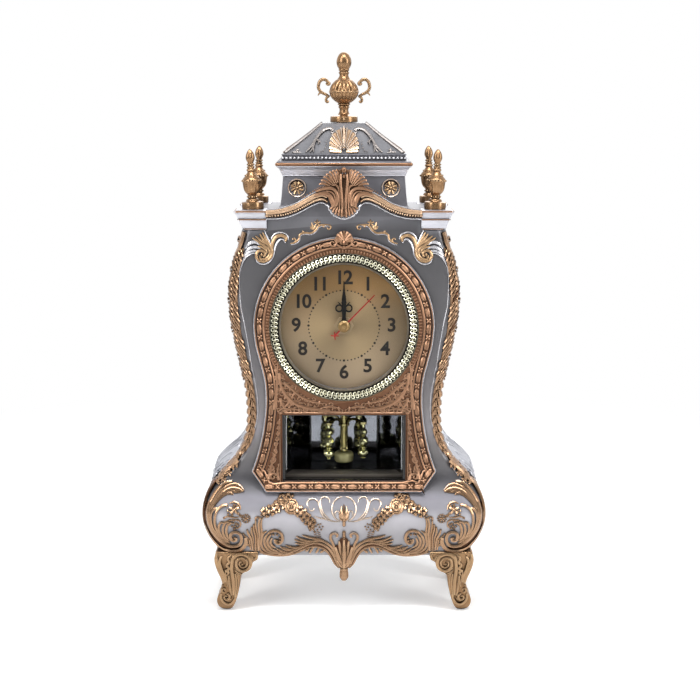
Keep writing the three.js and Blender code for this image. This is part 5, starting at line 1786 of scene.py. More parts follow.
def makePediment(form):
    def face(x, z, h):
        return (x, form["front"] - h, z)
    top, low = between(form, 0, 30), between(form, 1, 30)
    body = bevelled(cutPanel("body", top + low[::-1], form["front"] + 0.6, form["back"]), 0.5 * mm, 2, 50)
    lines = []
    for share, width, lift in ((0.24, 0.8, 0.9), (0.46, 0.85, 0.75)):
        lines.append((between(form, share, 14), [width], lift))
    for x, z in between(form, 0.8, 40):
        lines.append(([(x + 0.3, z - 0.5), (x, z), (x - 0.2, z + 0.5)], [0.3, 0.5, 0.3], 0.3))
    bands = layOn(carved("bands", lines, flat=0.9, steps=4), face)
    left = joined(body, bands)
    finishPair(left, "pediment_moulding", pedimentGold, "pediment")
    # dark brown strands in the pediment grooves: painted shade
    groove = [(between(form, share, 14), [width], -0.1) for share, width in ((0.64, 0.4), (0.97, 0.45))]
    ornament("pediment_grooves", bothSides(groove), face, grooveBrown, "copper_gold")
    # a silver lower edge, and a silver line along the top that is a painted highlight
    edge = [([(x, z - 0.9) for x, z in between(form, 1, 14)], [0.55], -1.4),
            (between(form, 0.04, 14), [0.5], 0.7)]
    ornament("pediment_edge", bothSides(edge), face, reliefSilver, "silver_case")


crestForm = {
    "outline": [(0, 233.2), (-2.4, 234), (-4.6, 235.2), (-6.6, 237.4), (-7.6, 240.4), (-8.6, 242.4),
                (-9.6, 245.6), (-11.4, 249.4), (-10.8, 251.6), (-9.4, 253.6), (-8, 255), (-6.2, 256.2),
                (-4, 257), (-2, 257.2), (0, 257.4)],
    "back": -31.2, "front": -36.6,
    "tips": [(-2, 259.4), (-3.8, 259.7), (-5.7, 259.3), (-7.5, 258.5), (-9.2, 257.3), (-10.7, 255.8),
             (-12, 254), (-13, 252)],
    "roots": [(-2.2, 253.4), (-2.7, 252.9), (-3.3, 252.5), (-4.1, 252.2), (-5, 251.9), (-5.9, 251.6),
              (-6.9, 251.2), (-8, 250.8)],
    "low": [(-7.6, 237.8), (-6.4, 236), (-4.9, 234.7), (-3.2, 233.8), (-1.4, 233.2)],
}


def crestHalf(form):
    # one half of the crest: fan fingers, rolls that turn down beside the stem, small flutes at the foot
    lines = []
    for tip, root in zip(form["tips"], form["roots"]):
        middle = ((tip[0] + root[0]) / 2 - 0.1, (tip[1] + root[1]) / 2 + 0.5)
        hook = (tip[0] - 0.9, tip[1] - 0.5)
        lines.append(([root, middle, tip, hook], [0.35, 0.72, 0.78, 0.3], 0.5))
        lines.append(([root, middle, tip], [0.2, 0.3, 0.25], 1.1))
    rolls = [
        ([(-16.4, 245.4), (-11.1, 246.6), (-7.9, 244.9), (-6.6, 241.9), (-6.3, 238.8)], 1.35, 0.5),
        ([(-16, 247.6), (-10.5, 249.4), (-6.2, 249.1), (-4, 246.5), (-3.7, 242.9), (-4.4, 239.3)], 1.0, 0.9),
        ([(-6.6, 251.2), (-3.9, 250.9), (-2.5, 247.4), (-2.3, 242.9), (-2.7, 238.3)], 0.62, 1.1),
        ([(-10, 247.9), (-6.9, 247.2), (-5.3, 244.9), (-5, 241.9), (-5.3, 239.2)], 0.5, 0.9),
    ]
    lines += [strand(points, width, lift, 0.5, 0.6) for points, width, lift in rolls]
    lines.append(strand([(-1.7, 257.6), (-1.9, 252.4), (-1.4, 246.1), (-1.0, 240.6), (-0.9, 238)], 0.85,
                        1.7, 0.7, 0.6))
    for n, end in enumerate(form["low"]):
        start = (end[0] * 0.72, 239.2 - 0.25 * n)
        lines.append(([start, ((start[0] + end[0]) / 2, (start[1] + end[1]) / 2 + 0.4), end],
                      [0.3, 0.6, 0.5], 0.7))
    lines += beadLine([(-9.6, 250.6), (-13.6, 249.9), (-18, 247.4), (-23.4, 244.2)], 12, 0.5, 0.6)
    return lines


def makeCrest(form):
    def face(x, z, h):
        return (x, form["front"] - h, z)
    left = form["outline"]
    plate = bevelled(cutPanel("plate", left + [(-x, z) for x, z in left[-2:0:-1]], form["front"],
                              form["back"]), 0.8 * mm, 3, 50)
    half = crestHalf(form)
    middle = [strand([(0, 256), (0, 249), (0, 242), (0, 234.4)], 0.5, 0.6), bead(0, 256.6, 1.5, 1.2)]
    relief = layOn(carved("relief", middle + bothSides(half), flat=0.75), face)
    pick()
    bpy.ops.mesh.primitive_uv_sphere_add(segments=20, ring_count=12, radius=1.7 * mm,
                                         location=(0, -38.4 * mm, 259.7 * mm))
    ball = settle(bpy.context.object)
    finishPiece(joined(plate, relief, ball), "crest_leaves", copperGold,
                standsFor=["crest_shell"])
    low = [(-9.8, 240), (-8.6, 238.8)]
    for x, z in form["low"]:
        low += [(x - 0.75, z - 0.7), (x + 0.35, z - 0.95)]
    rim = [(low + [(0, 232.2)], [0.5], -0.6)]
    ornament("crest_rim", bothSides(rim), face, reliefSilver, "silver_case", flat=0.9)


makePediment(pedimentForm)
makeCrest(crestForm)
print("pediment ready")


# corner trims, consoles and vines

trimForm = {
    "joints": [214, 202.4, 184, 167, 151, 144.8, 138.8], "huskTop": 135.2, "huskFoot": 88,
    "huskStep": 5.15, "half": 3.1, "rise": 1.5,
    "line": [(-55.6, 213.4), (-57.8, 209.4), (-59.2, 204), (-60, 199.4), (-59.9, 190.2), (-59.2, 180.5),
             (-57.6, 172.8), (-56.2, 165), (-55, 158), (-53.4, 146), (-51.6, 136.6), (-50.3, 126.5),
             (-50.4, 118.2), (-51.8, 110.8), (-54.6, 102.5), (-58.2, 95.6), (-62.8, 87.7), (-66.4, 82)],
}


def onTrim(z, across):
    # a place on the left trim; across runs square to it, towards the middle of the clock
    slope = math.atan2(2, halfAt(z + 1) - halfAt(z - 1))
    inset = trimForm["half"] + across - 0.7
    return (-(halfAt(z) - inset * math.sin(slope) + 0.3), z - inset * math.cos(slope))


def trimRise(x, z):
    # how far the trim swells out: most along its middle and halfway down each leaf
    joints = trimForm["joints"]
    across = (x - onTrim(z, 0)[0]) / (trimForm["half"] + 0.6)
    crown = math.sqrt(max(0, 1 - across * across))
    for high, low in zip(joints, joints[1:]):
        if low <= z <= high:
            return trimForm["rise"] * crown * (0.35 + 0.65 * math.sin(math.pi * (z - low) / (high - low)))
    return trimForm["rise"] * crown * 0.35


def onTrimSwell(x, z, h):
    return onFront(x, z, h + trimRise(-abs(x), z))


def ribbedLeaf(high, low):
    # one long leaf between two joints: slanting ribs, curls at its outer foot
    half = trimForm["half"]
    middle, length = (high + low) / 2, high - low
    lines = []
    count = max(3, round((0.5 * length + 0.87 * 2 * half) / 1.6))
    for n in range(count):
        offset = (n - (count - 1) / 2) * 1.6
        inside = []
        for step in range(-30, 31):
            run = 0.4 * step
            across, z = 0.5 * run + 0.87 * offset, middle - 0.87 * run + 0.5 * offset
            share = (high - z) / length
            if 0 < share < 1.06 and abs(across) < half * (0.62 + 0.5 * math.sin(math.pi * min(share, 1))):
                inside.append(onTrim(z, across))
        if len(inside) > 3:
            lines.append(strand([inside[0], inside[len(inside) // 2], inside[-1]], 0.66, 0.55, 0.5, 0.6))
    lines += [bead(*onTrim(low + 0.8, -half * 1.05), 1.05, 0.9),
              bead(*onTrim(low - 0.9, -half * 0.9), 0.8, 0.8), bead(*onTrim(low + 0.2, 0.2), 0.8, 0.7)]
    return lines


def husk(z):
    half = trimForm["half"]
    lines = [strand([onTrim(z + 2.2, 0.4), onTrim(z + 0.6, 0.5), onTrim(z - 1.3, 0.5)], 0.5, 1.0, 0.6, 0.5)]
    for side, width in ((-1, 1.3), (1, 0.85)):
        lines.append(strand([onTrim(z + 2.6, side * 0.3), onTrim(z + 0.4, side * half * 0.5),
                             onTrim(z - 2, side * half * 0.68)], width, 0.5, 0.35, 0.9))
        lines.append(strand([onTrim(z + 2.2, side * 0.9), onTrim(z + 0.2, side * half * 0.62),
                             onTrim(z - 1.9, side * half * 0.85)], 0.3, 1.5, 0.5, 0.6))
    return lines


def makeTrims(form):
    lines = []
    for high, low in zip(form["joints"], form["joints"][1:]):
        lines += ribbedLeaf(high, low)
    count = int((form["huskTop"] - form["huskFoot"]) / form["huskStep"])
    for n in range(count + 1):
        lines += husk(form["huskTop"] - form["huskStep"] * n)
    lines += frond([(-62, 91), (-66.4, 87.4), (-71.4, 82.4), (-74.6, 77.6)], 4.8, 2.2, 6, 52, 1.0)
    for x, z, size in ((-65.4, 88.4, 2.0), (-68.8, 86.6, 2.4), (-72, 83.4, 2.5), (-67.4, 83.2, 1.9),
                       (-70.6, 79.6, 2.0)):
        lines += flower(x, z, size, 5, 1.6)
    lines += [strand([onTrim(223.6, -0.4), onTrim(218, -0.4), onTrim(213, -0.6)], 1.5, 0.5, 0.9, 0.6),
              curlEnd(-60.4, 219.4, 1.9)]
    lines += [strand([onTrim(z, across) for z in range(88, 223, 9)], 1.25, lift, 0.8, 0.8)
              for across, lift in ((-1.7, -0.7), (0, -0.8), (1.7, -0.9))]
    gold = layOn(carved("trimLeaves", lines, flat=0.85), onTrimSwell)
    finishPair(gold, "corner_leaves", trimGold, "corner_trim")
    silver = [strand(form["line"], 0.36, 0.1, 0.6, 0.6)]
    ornament("corner_lines", bothSides(silver), onFront, reliefSilver, "silver_case", steps=4)


def curlEnd(cx, cz, radius):
    return (curl(cx, cz, radius, radius * 0.35, 200, -160, 8),
            [0.75, 0.75, 0.7, 0.65, 0.6, 0.55, 0.5, 0.5], 0.8)


def makeConsoles():
    gold = [
        strand([(-47.7, 219.9), (-44.7, 218.1), (-42.1, 215.8), (-41, 213.1), (-41.7, 210.2), (-44, 208),
                (-47, 207.5), (-49.6, 209), (-50, 211.5), (-48.4, 213.5), (-46, 213.1), (-45.1, 211.4),
                (-46.2, 210.2)], 0.85, 0.7, 0.4, 0.8),
        strand([(-48.6, 217.8), (-45.6, 216.5), (-43.2, 214.7), (-42.5, 212.4), (-43.2, 210.2),
                (-45.2, 208.9), (-47.4, 209), (-48.4, 211)], 0.75, 0.9, 0.4, 0.4),
        strand([(-49.4, 216), (-46.4, 215.4), (-44.4, 213.8), (-43.9, 212)], 0.75, 0.8),
        strand([(-46.4, 224), (-44.6, 220.6), (-42.2, 216.6), (-41, 214)], 0.85, 0.7),
        strand([(-48, 223.2), (-46, 220.2), (-43, 216.8), (-41.6, 214.4)], 0.8, 0.6),
        strand([(-50.4, 222), (-47.6, 219.6), (-44.4, 217)], 0.8, 0.6),
        strand([(-52.4, 221), (-49.4, 219), (-46, 217.4)], 0.8, 0.5),
        strand([(-41.2, 212.6), (-41.1, 215.8), (-40.4, 218.9), (-39, 221.1), (-36.9, 222.2),
                (-34.6, 222), (-33, 220.6), (-33.2, 219)], 1.0, 0.5, 0.6, 0.6),
        bead(-47, 211.3, 1.0, 1.4), bead(-33.4, 219.2, 0.8, 0.8)]
    silver = [
        strand([(-50.6, 210.4), (-49.4, 207.2), (-46.4, 205.9), (-43, 207), (-40.7, 210.2),
                (-39.5, 214.6), (-38, 218.2), (-35.2, 220.2), (-33.4, 218)], 0.6, 0.2),
        strand([(-41.9, 217.6), (-41, 221), (-38.6, 223.6), (-35.4, 223.9), (-32.6, 222.4),
                (-31.6, 219.8)], 0.5, 0.2),
        strand([(-45.4, 225.4), (-43.8, 221.6), (-41.7, 217.3)], 0.55, 1.0),
        strand([(-56.4, 214.6), (-54, 217.6), (-50.8, 218.5), (-48.2, 217)], 0.95, 0.5),
        strand([(-57.2, 210.8), (-54.2, 214.6), (-50.9, 215.7), (-47.8, 214.9)], 0.95, 0.6),
        strand([(-58, 207.4), (-55, 212), (-51.4, 213.6), (-49, 213)], 0.75, 0.5),
        strand([(-58.8, 204.4), (-57.3, 208.2), (-54.4, 211), (-51.5, 212.2), (-49.9, 211.4)], 0.55, 0.3)]
    ornament("console_leaves", bothSides(gold), onFront, antiqueGold, "antique_gold", flat=0.85)
    ornament("console_bands", bothSides(silver), onFront, reliefSilver, "silver_case", flat=0.85)


def makeVines():
    stem = [(-30.6, 217.6), (-27.6, 218.4), (-25.6, 220.4), (-25.2, 222.6), (-22.6, 223.8),
            (-18.8, 223.6), (-16, 225.4), (-14.2, 227.8), (-10.6, 228.4), (-7.8, 228.2)]
    gold = [(stem, [0.3, 0.5, 0.55, 0.6, 0.6, 0.55, 0.6, 0.55, 0.45, 0.2], 0.1)]
    gold.append((curl(-28.8, 219.6, 1.7, 0.5, 260, 520, 7), [0.4, 0.5, 0.5, 0.45, 0.4, 0.4, 0.4], 0.1))
    gold.append((curl(-8.8, 226.6, 1.6, 0.5, 80, -190, 7), [0.4, 0.5, 0.5, 0.45, 0.4, 0.4, 0.4], 0.1))
    gold += flower(-15.2, 229.4, 1.9, 5, 0.2)
    gold += spray((-17.4, 225.6), 105, 4.4, 3, 60, 1.3, 0.1, 0.1)
    gold += spray((-22.6, 223.4), 150, 3.2, 2, 40, 1.1, 0.1, 0.1)
    gold += spray((-12, 228.2), 320, 2.8, 2, 40, 1.0, 0.1, 0.1)
    silver = [([(x + 0.2, z - 0.75) for x, z in stem],
               [0.2, 0.4, 0.42, 0.4, 0.4, 0.4, 0.4, 0.35, 0.3, 0.2], -0.1)]
    ornament("front_vines", bothSides(gold), onFront, antiqueGold, "antique_gold")
    ornament("front_vine_lines", bothSides(silver), onFront, reliefSilver, "silver_case")


makeTrims(trimForm)
makeConsoles()
makeVines()
print("trims ready")


# belly scrolls, garlands and apron

scrollForm = {
    "shadeSpread": 1.35, "shadeLift": -0.95,
    "outer": [(-74.3, 79.4), (-77.2, 75.6), (-79.7, 71.4), (-81.6, 67.1), (-82.7, 62.6), (-82.9, 58.4),
              (-82.2, 53.9), (-80.2, 49), (-78, 45.1), (-75.1, 41.8), (-71.9, 39.3), (-67.9, 38.1),
              (-64.1, 37.9), (-60.9, 38.6), (-58.3, 40.9), (-57.1, 43.9), (-57.5, 46.6)],
    "inner": [(-65.3, 78.7), (-68.8, 78.1), (-71.9, 76), (-74.3, 73.6), (-76.3, 70.9), (-78.1, 67.6),
              (-79.3, 63.7), (-79.6, 60.1), (-79.1, 56.2), (-77.7, 52.3), (-75.7, 48.7), (-72.9, 45.4),
              (-69.8, 43), (-66.9, 41.5), (-63.4, 41.2), (-60.8, 42.4), (-59.7, 45.1), (-59.9, 47.5),
              (-61, 49.3), (-63.3, 50.1), (-65.4, 49.3), (-66.1, 47.5), (-65.7, 45.7), (-64.6, 44.8),
              (-63.1, 45.1), (-62.5, 46.6)],
    "leaves": [
        [(-58.2, 73.6), (-60.5, 75.7), (-63.6, 76.9), (-66.8, 76.3), (-69.9, 74.8), (-72.8, 72.4),
         (-75.2, 69.1), (-77.2, 65.5), (-78.3, 62.8), (-78.5, 59.9), (-77.9, 56.6), (-76.8, 52.9),
         (-74.9, 49.6), (-72.3, 46.6), (-69.2, 44.2), (-66.6, 43)],
        [(-58.6, 73.2), (-61.4, 74.4), (-65, 74.9), (-69.4, 73.4), (-72.6, 70.9), (-75.2, 67.6),
         (-77.2, 64)],
        [(-59.6, 73), (-63.1, 73.2), (-66.8, 73.9), (-70.4, 72.4), (-73.4, 69.8), (-75.8, 66.6),
         (-77.4, 63.1)],
        [(-64.4, 71.4), (-66.5, 72.5), (-68.8, 72.1), (-71.4, 70.6), (-74, 68.2), (-76.1, 65.5),
         (-77.4, 63.1)]],
    "ribs": [
        [(-73.5, 64.6), (-75.5, 63.9), (-77, 61.6), (-77.5, 58.7), (-77.1, 55), (-76, 51.7),
         (-74.3, 48.7), (-72, 46), (-69.2, 43.9)],
        [(-67.8, 66.4), (-70.6, 65.8), (-73, 64), (-74.4, 61.6), (-75, 58.7), (-75.1, 55.3), (-74.3, 52),
         (-72.9, 49.3), (-70.9, 46.9), (-68.6, 45.4)],
        [(-69.9, 55.8), (-71.3, 56.1), (-72.5, 54.4), (-72.8, 52), (-72.3, 49.6), (-70.9, 46.9),
         (-68.9, 44.8), (-66.6, 43.6)],
        [(-67, 56.4), (-68.7, 56.1), (-70.1, 53.8), (-70.5, 51.1), (-70, 48.4), (-68.6, 46),
         (-66.6, 44.7)],
        [(-65.3, 56.1), (-67.2, 55), (-68.2, 52.6), (-68.4, 49.9), (-67.7, 47.2), (-66.3, 45.4)]],
    "lace": [(-68, 65.8), (-67.5, 63.1), (-67.2, 61), (-69.6, 58.7), (-64.9, 60.7), (-61.2, 61.6),
             (-60.4, 59.9), (-66.2, 55), (-64.4, 55.6), (-62.7, 55.3), (-65, 53.5), (-63.3, 53.8),
             (-61.6, 54.7), (-63.9, 52), (-62.2, 52.6), (-66.4, 57.4), (-64, 57.2), (-61.6, 57.4),
             (-66, 64.6), (-66, 62.4), (-62, 65.6)],
}


def makeScroll(form):
    gold = [strand(form["outer"], 1.25, 0.8, 0.5, 0.7), strand(form["inner"], 1.0, 1.1, 0.3, 0.75)]
    for n, line in enumerate(form["leaves"]):
        gold.append(strand(line, 1.0, (0.8, 1.1, 0.5, 0.3)[n], 0.3, 0.35))
    for line in form["ribs"]:
        gold.append(strand(line, 0.78, 0.8, 0.75, 0.35))
    gold.append(bead(-63.8, 46.7, 0.8, 1.3))
    # lace, bud and rosette inside the bow
    gold += flower(-63.8, 63.9, 2.9, 5, 0.9)
    gold += [strand([(-66.6, 66.9), (-63.7, 67.8), (-60.9, 66.3), (-60, 63.5)], 0.55, 0.3),
             strand([(-69.9, 58.7), (-67.3, 59.7), (-64.4, 59.1), (-61.2, 59.1)], 0.6, 0.3),
             strand([(-69.6, 56.4), (-66.7, 57), (-63.8, 57.6), (-61.3, 57.2), (-60.1, 55.6),
                     (-60.7, 53.3), (-63.3, 52.4)], 0.5, 0.3)]
    gold += [bead(x, z, 0.8, 0.6) for x, z in form["lace"]]
    gold += flower(-56.9, 58.4, 1.8, 5, 0.7)
    gold += beadLine(curl(-56.9, 58.4, 2.4, 2.4, 0, 327, 9), 11, 0.6, 0.6)
    gold.append(strand([(-58.6, 59.6), (-60.2, 60.6), (-62, 60.8)], 0.5, 0.3))
    # upright acanthus beside the volute
    for n, (base, heel, tip) in enumerate((
            ((-54.4, 38.6), (-55.2, 44.2), (-58.6, 49)), ((-53.2, 38.4), (-54.2, 46), (-56.3, 51.4)),
            ((-52.4, 38.2), (-53.2, 47), (-53.6, 52.8)), ((-51.6, 38.2), (-51.6, 48), (-52.4, 54.6)),
            ((-50.8, 38.2), (-50.6, 49), (-51.2, 57.2)), ((-50, 38.2), (-49.2, 49), (-49, 58.6)),
            ((-49.6, 38.6), (-47.9, 50), (-47.6, 58.4)))):
        gold.append(strand([base, heel, ((heel[0] + tip[0]) / 2 - 0.5, (heel[1] + tip[1]) / 2 + 0.7),
                            tip], 0.72, 0.35 + 0.5 * (n % 2), 0.5, 0.5))
        gold.append(bead(tip[0], tip[1], 0.75, 0.9))
    gold += [strand([(-51.2, 57), (-51.4, 58.6), (-50, 59.4), (-48.7, 58.4), (-49.3, 57)], 0.6, 0.8),
             strand([(-53.4, 41), (-56.4, 42.4), (-57.6, 44.6)], 0.9, 0.5),
             strand([(-53.4, 42.4), (-55.6, 40.6)], 0.8, 0.5), bead(-55, 45.4, 0.8, 0.8),
             bead(-56.6, 43.2, 0.7, 1.0), bead(-48, 60.4, 0.8, 0.6), bead(-47.4, 62.4, 0.75, 0.6)]
    # the inner volute turns the other way
    for n, line in enumerate((
            [(-48.4, 49.8), (-49.4, 46.2), (-49.8, 42.2), (-49.2, 38.8), (-47.3, 37), (-43.5, 36),
             (-38.5, 35.6)],
            [(-44.9, 50.8), (-46.8, 49.4), (-48, 45.4), (-48.1, 41.4), (-46.5, 38.8), (-42.7, 37),
             (-38.5, 36)],
            [(-43.8, 49.8), (-45.5, 47.4), (-46.4, 44.4), (-45.8, 41), (-43.8, 38.7), (-40, 37.2),
             (-36.9, 36.4)],
            [(-42.6, 48.6), (-44, 46.4), (-44.6, 43.6), (-43.8, 41), (-41.8, 39.2), (-38.6, 37.8)],
            [(-41.9, 46.4), (-42.8, 43.8), (-42, 41.6), (-40, 40.2)])):
        gold.append(strand(line, 0.78, 0.45 + 0.16 * n, 0.5, 0.4))
    gold.append(strand([(-44.5, 49), (-42.6, 50.4), (-39.9, 51), (-37.2, 49.8), (-35.9, 47),
                        (-36.3, 44.2), (-38.1, 42.8), (-40, 43.8), (-40.4, 45.6)], 0.9, 0.7, 0.5, 0.6))
    gold += [bead(x, z, 0.85, 1.0) for x, z in ((-42.8, 48.6), (-41.1, 48.6), (-38.9, 48.4),
                                                (-37.4, 46.4), (-37.6, 44.6), (-39, 45))]
    return gold


def bedsOf(lines):
    # dark brown strands under the ribs of one scroll: painted shade between the ribs
    ribs = [line[:2] for line in lines if len(line[0]) > 3]
    return [(points, [scrollForm["shadeSpread"] * width for width in widths], scrollForm["shadeLift"])
            for points, widths in ribs]


def makeGarland():
    gold = []
    left = [(-46.4, 61.4), (-43.3, 62.6), (-40.2, 64.2), (-38.1, 66), (-35.8, 68.6), (-33.8, 71.2),
            (-31.6, 73)]
    right = [(-27.2, 63.2), (-24.5, 61.4), (-22.2, 59.1), (-19.9, 56.7), (-18.2, 54.4)]
    for track, count in ((left, 13), (right, 10)):
        for n, (x, z) in enumerate(softLine(track, count)):
            reach = 2.6 if n % 2 else 2.2
            lean = -1 if track is right else 1
            wave = 0.5 * math.sin(2.4 * n)
            gold.append(bead(x - 0.6 * reach * lean, z + 0.75 * reach + wave, 1.05 + 0.2 * wave, 0.6))
            gold.append(bead(x + (0.6 * reach - wave) * lean, z - 0.75 * reach, 1.05 - 0.2 * wave, 0.5))
            gold += flower(x + 0.6 * wave, z, 2.2, 4, 0.9) if n % 2 else [bead(x, z, 1.35, 1.1)]
    gold += [bead(x, z, 0.62, 0.6) for x, z in ((-30.2, 73.8), (-28.8, 73.2), (-32.4, 74.2),
                                                (-46.8, 59.4), (-47.2, 63.6), (-45, 64.6))]
    # roundel where the two halves meet
    cx, cz = -30.4, 65.6
    gold += [(curl(cx, cz, 3.5, 3.5, 0, 360, 11), [0.55], 0.5),
             (curl(cx, cz, 2.2, 2.2, 0, 360, 9), [0.62], 0.9),
             (curl(cx, cz, 1.1, 1.1, 0, 360, 7), [0.5], 0.6), bead(cx, cz, 0.85, 1.5)]
    gold.append(strand([(-34, 69.6), (-34.4, 66.6), (-34, 63.6), (-32, 61.5), (-29.2, 61.5), (-27, 63.2)],
                       0.5, 0.3))
    # the flower and lace that end the right half
    gold += flower(-18.4, 52.6, 1.7, 5, 0.8)
    gold += [bead(x, z, 0.6, 0.5) for x, z in ((-16.4, 56), (-15, 54.6), (-14.2, 53), (-16.2, 53.6),
                                               (-15.4, 51.4), (-13.2, 51.6), (-13.6, 55), (-12.4, 53.4),
                                               (-17.2, 50.4), (-20.2, 53.4), (-19.8, 51))]
    for n in range(4):
        gold += [strand([(-15.6 + 0.2 * n, 50.2 - 1.3 * n), (-13.8 + 0.2 * n, 49.6 - 1.3 * n)], 0.5, 0.5),
                 strand([(-16 + 0.2 * n, 50.2 - 1.3 * n), (-17.6 + 0.2 * n, 49.4 - 1.3 * n)], 0.5, 0.5)]
    return gold


def makeFineScrolls():
    lines = [
        strand([(-20.7, 64.8), (-21.4, 66.4), (-20.9, 68.2), (-19.1, 69.2), (-16.5, 68.9), (-14.5, 66.6),
                (-13.8, 63.4), (-12.3, 60.2), (-10, 57.9), (-6.9, 56.8), (-2.3, 56.4)], 0.46, 0.2),
        strand([(-20.7, 64.6), (-19.5, 63), (-17.8, 63.2), (-17.4, 64.4)], 0.4, 0.1),
        strand([(-8.2, 67.4), (-8.8, 69.2), (-10.7, 70.2), (-12.8, 69.8), (-13.8, 68.2), (-13.4, 65.4),
                (-12.3, 62.2), (-10, 59.5), (-7.7, 57.3)], 0.44, 0.15),
        strand([(-1, 70.3), (-2.6, 70), (-4.8, 68.8), (-6.5, 66.6), (-7.1, 63.6), (-6.1, 60.2),
                (-4.2, 57.9), (-2.3, 57)], 0.46, 0.15),
        strand([(-4.4, 59.6), (-5.2, 61.4), (-4.2, 62.8), (-2.8, 62), (-3.2, 60.6)], 0.38, 0.1),
        strand([(-17.2, 59.9), (-14.6, 58.8), (-11.8, 58.2), (-9.4, 57.2)], 0.5, 0.1)]
    # thin pale strands and a bead on the edges of the big scroll: painted highlights
    lights = [strand([(-65.3, 79.2), (-68.8, 78.7), (-71.9, 76.7), (-74.4, 74.2)], 0.3, 1.5),
              bead(-50.2, 58.8, 0.5, 1.6),
              strand([(-58.2, 74.2), (-60.5, 76.3), (-63.4, 77.4)], 0.3, 1.3),
              strand([(-3.8, 48.4), (-5, 49.9), (-7.2, 49.4)], 0.4, 1.2)]
    return lines + lights


def makeFlowerMiddle():
    # the gold bud between the fine scrolls, drawn once on the middle line
    lines = [leafFinger((0, 57.6), (1.4 * side, 66.6 - 1.1 * abs(side) ** 1.5), 1.5, -0.1 * side, 0.5)
             for side in (-1, 0, 1)]
    lines += [leafFinger((0, 58), (2.6 * side, 62.4), 1.5, -0.16 * side, 0.4) for side in (-1, 1)]
    lines += [leafFinger((0, 57), (2.9 * side, 59.8), 1.2, -0.16 * side, 0.3) for side in (-1, 1)]
    lines += [strand([(0, 60), (0, 57.4), (0, 54), (0, 53.4)], 0.95, 0.5, 0.6, 0.3), bead(0, 56.4, 1.2, 0.7)]
    return lines


def makeBranches():
    # the lower branch from the inner volute to the middle drop
    branch = [(-38.5, 35.8), (-33.1, 36.6), (-27.3, 39), (-23.1, 41.2), (-19.6, 42.8), (-15.8, 43.2),
              (-11.9, 42), (-8.8, 39.4), (-6.2, 35.4), (-3.9, 30.4), (-2.9, 27.6)]
    low = [(-49.6, 37), (-44.7, 35.9), (-38.5, 35.2), (-32.3, 35.6), (-27.3, 37.2), (-23.1, 39.4),
           (-19, 40.8), (-14.4, 40.6), (-10.4, 38.2), (-7.6, 34.6), (-5.4, 30.4), (-3.2, 27.4)]
    crown = [(-20, 43.6), (-16.2, 45), (-12.3, 44.4), (-8.7, 42), (-6.2, 38.8), (-4.4, 34.6), (-3.2, 30.4)]
    gold = [strand(branch, 0.8, 0.8), strand(low, 0.8, 0.4), strand(crown, 0.8, 0.7)]
    between = [((a[0] + b[0]) / 2, (a[1] + b[1]) / 2) for a, b in zip(branch, low[1:])]
    gold.append(strand(between, 0.7, 0.2))
    for line in ([(-24.2, 48.2), (-21.1, 47), (-17.4, 46.2), (-13, 45), (-9.6, 42.6)],
                 [(-27.7, 47.4), (-24.6, 45.6), (-20.6, 44.6), (-15, 44)],
                 [(-28.8, 45.4), (-25, 44), (-21, 43.6), (-16, 43.6)],
                 [(-28.4, 43.2), (-24.6, 42.4), (-20.6, 42.6)],
                 [(-34.2, 41.8), (-31.5, 40.8), (-27.7, 40.2), (-23.4, 41.4)],
                 [(-35.4, 40.4), (-32.4, 39.2), (-28.4, 39)], [(-37.3, 41), (-34.8, 39.2), (-31, 38.2)],
                 [(-39.4, 39.8), (-36.4, 38), (-32.6, 37.2)], [(-41, 38.6), (-38, 37), (-34, 36.4)],
                 [(-20.4, 39.6), (-21.6, 38.4), (-22.4, 37.8)],
                 [(-17.6, 40.6), (-19.2, 38.4), (-20, 36.6)],
                 [(-14.4, 40.6), (-15.4, 38.4), (-16.4, 36.6)], [(-11, 39), (-13, 37.6), (-13.8, 36.8)]):
        gold.append(strand(line, 0.75, 0.8, 0.45, 0.5))
    gold.append(strand([(-4.4, 36), (-5.6, 40.4), (-6.8, 43.6), (-7.9, 46.6), (-7.1, 48.9), (-5.2, 49.4),
                        (-3.8, 48.2), (-4.4, 46.8)], 0.8, 0.7, 0.5, 0.7))
    return gold


def makeDrop():
    lines = [strand([(0, 27.6), (0.1, 36), (0, 45.4)], 1.2, 1.7, 0.7, 0.5)]
    for side in (-1, 1):
        lines.append(strand([(0.4 * side, 27.4), (2.3 * side, 32), (3.2 * side, 38)], 1.7, -0.7, 0.5, 0.5))
        lines.append(strand([(0.4 * side, 28), (1.2 * side, 36), (1.4 * side, 42)], 1.2, -0.3, 0.7, 0.5))
        for base, heel, tip, lift in ((29, (1.7, 36), (2.8, 44.4), 0.5),
                                      (28.4, (3.1, 34), (5, 40.8), 1.2),
                                      (28, (2.8, 31.6), (5.2, 36.4), 0.5),
                                      (27.6, (1.9, 29.4), (3.7, 32.4), 1.1)):
            lines.append(strand([(0.3 * side, base), (heel[0] * side, heel[1]), (tip[0] * side, tip[1])],
                                1.25, lift, 0.5, 0.5))
    lines += [strand([(0, 45), (0, 47.6), (0, 49.6)], 1.0, 0.5, 0.9, 0.9), bead(0, 49.9, 1.2, 0.8),
              bead(0, 46.6, 0.8, 1.1)]
    lines += [strand([(-2.4, 27), (0, 26.5), (2.4, 27)], 0.85, 1.1, 0.8, 0.8),
              ([(0, 27), (0, 24.4), (0, 21.8), (0, 19.9)], [2.1, 2.6, 2.6, 1.4], 0.2)]
    return lines


def belowFront(x, z, h):
    # under the case's edge the apron hangs straight down
    if z >= caseForm["footZ"] + 0.6:
        return onFront(x, z, h)
    return (x, frontAt(caseForm["footZ"]) - h, z)


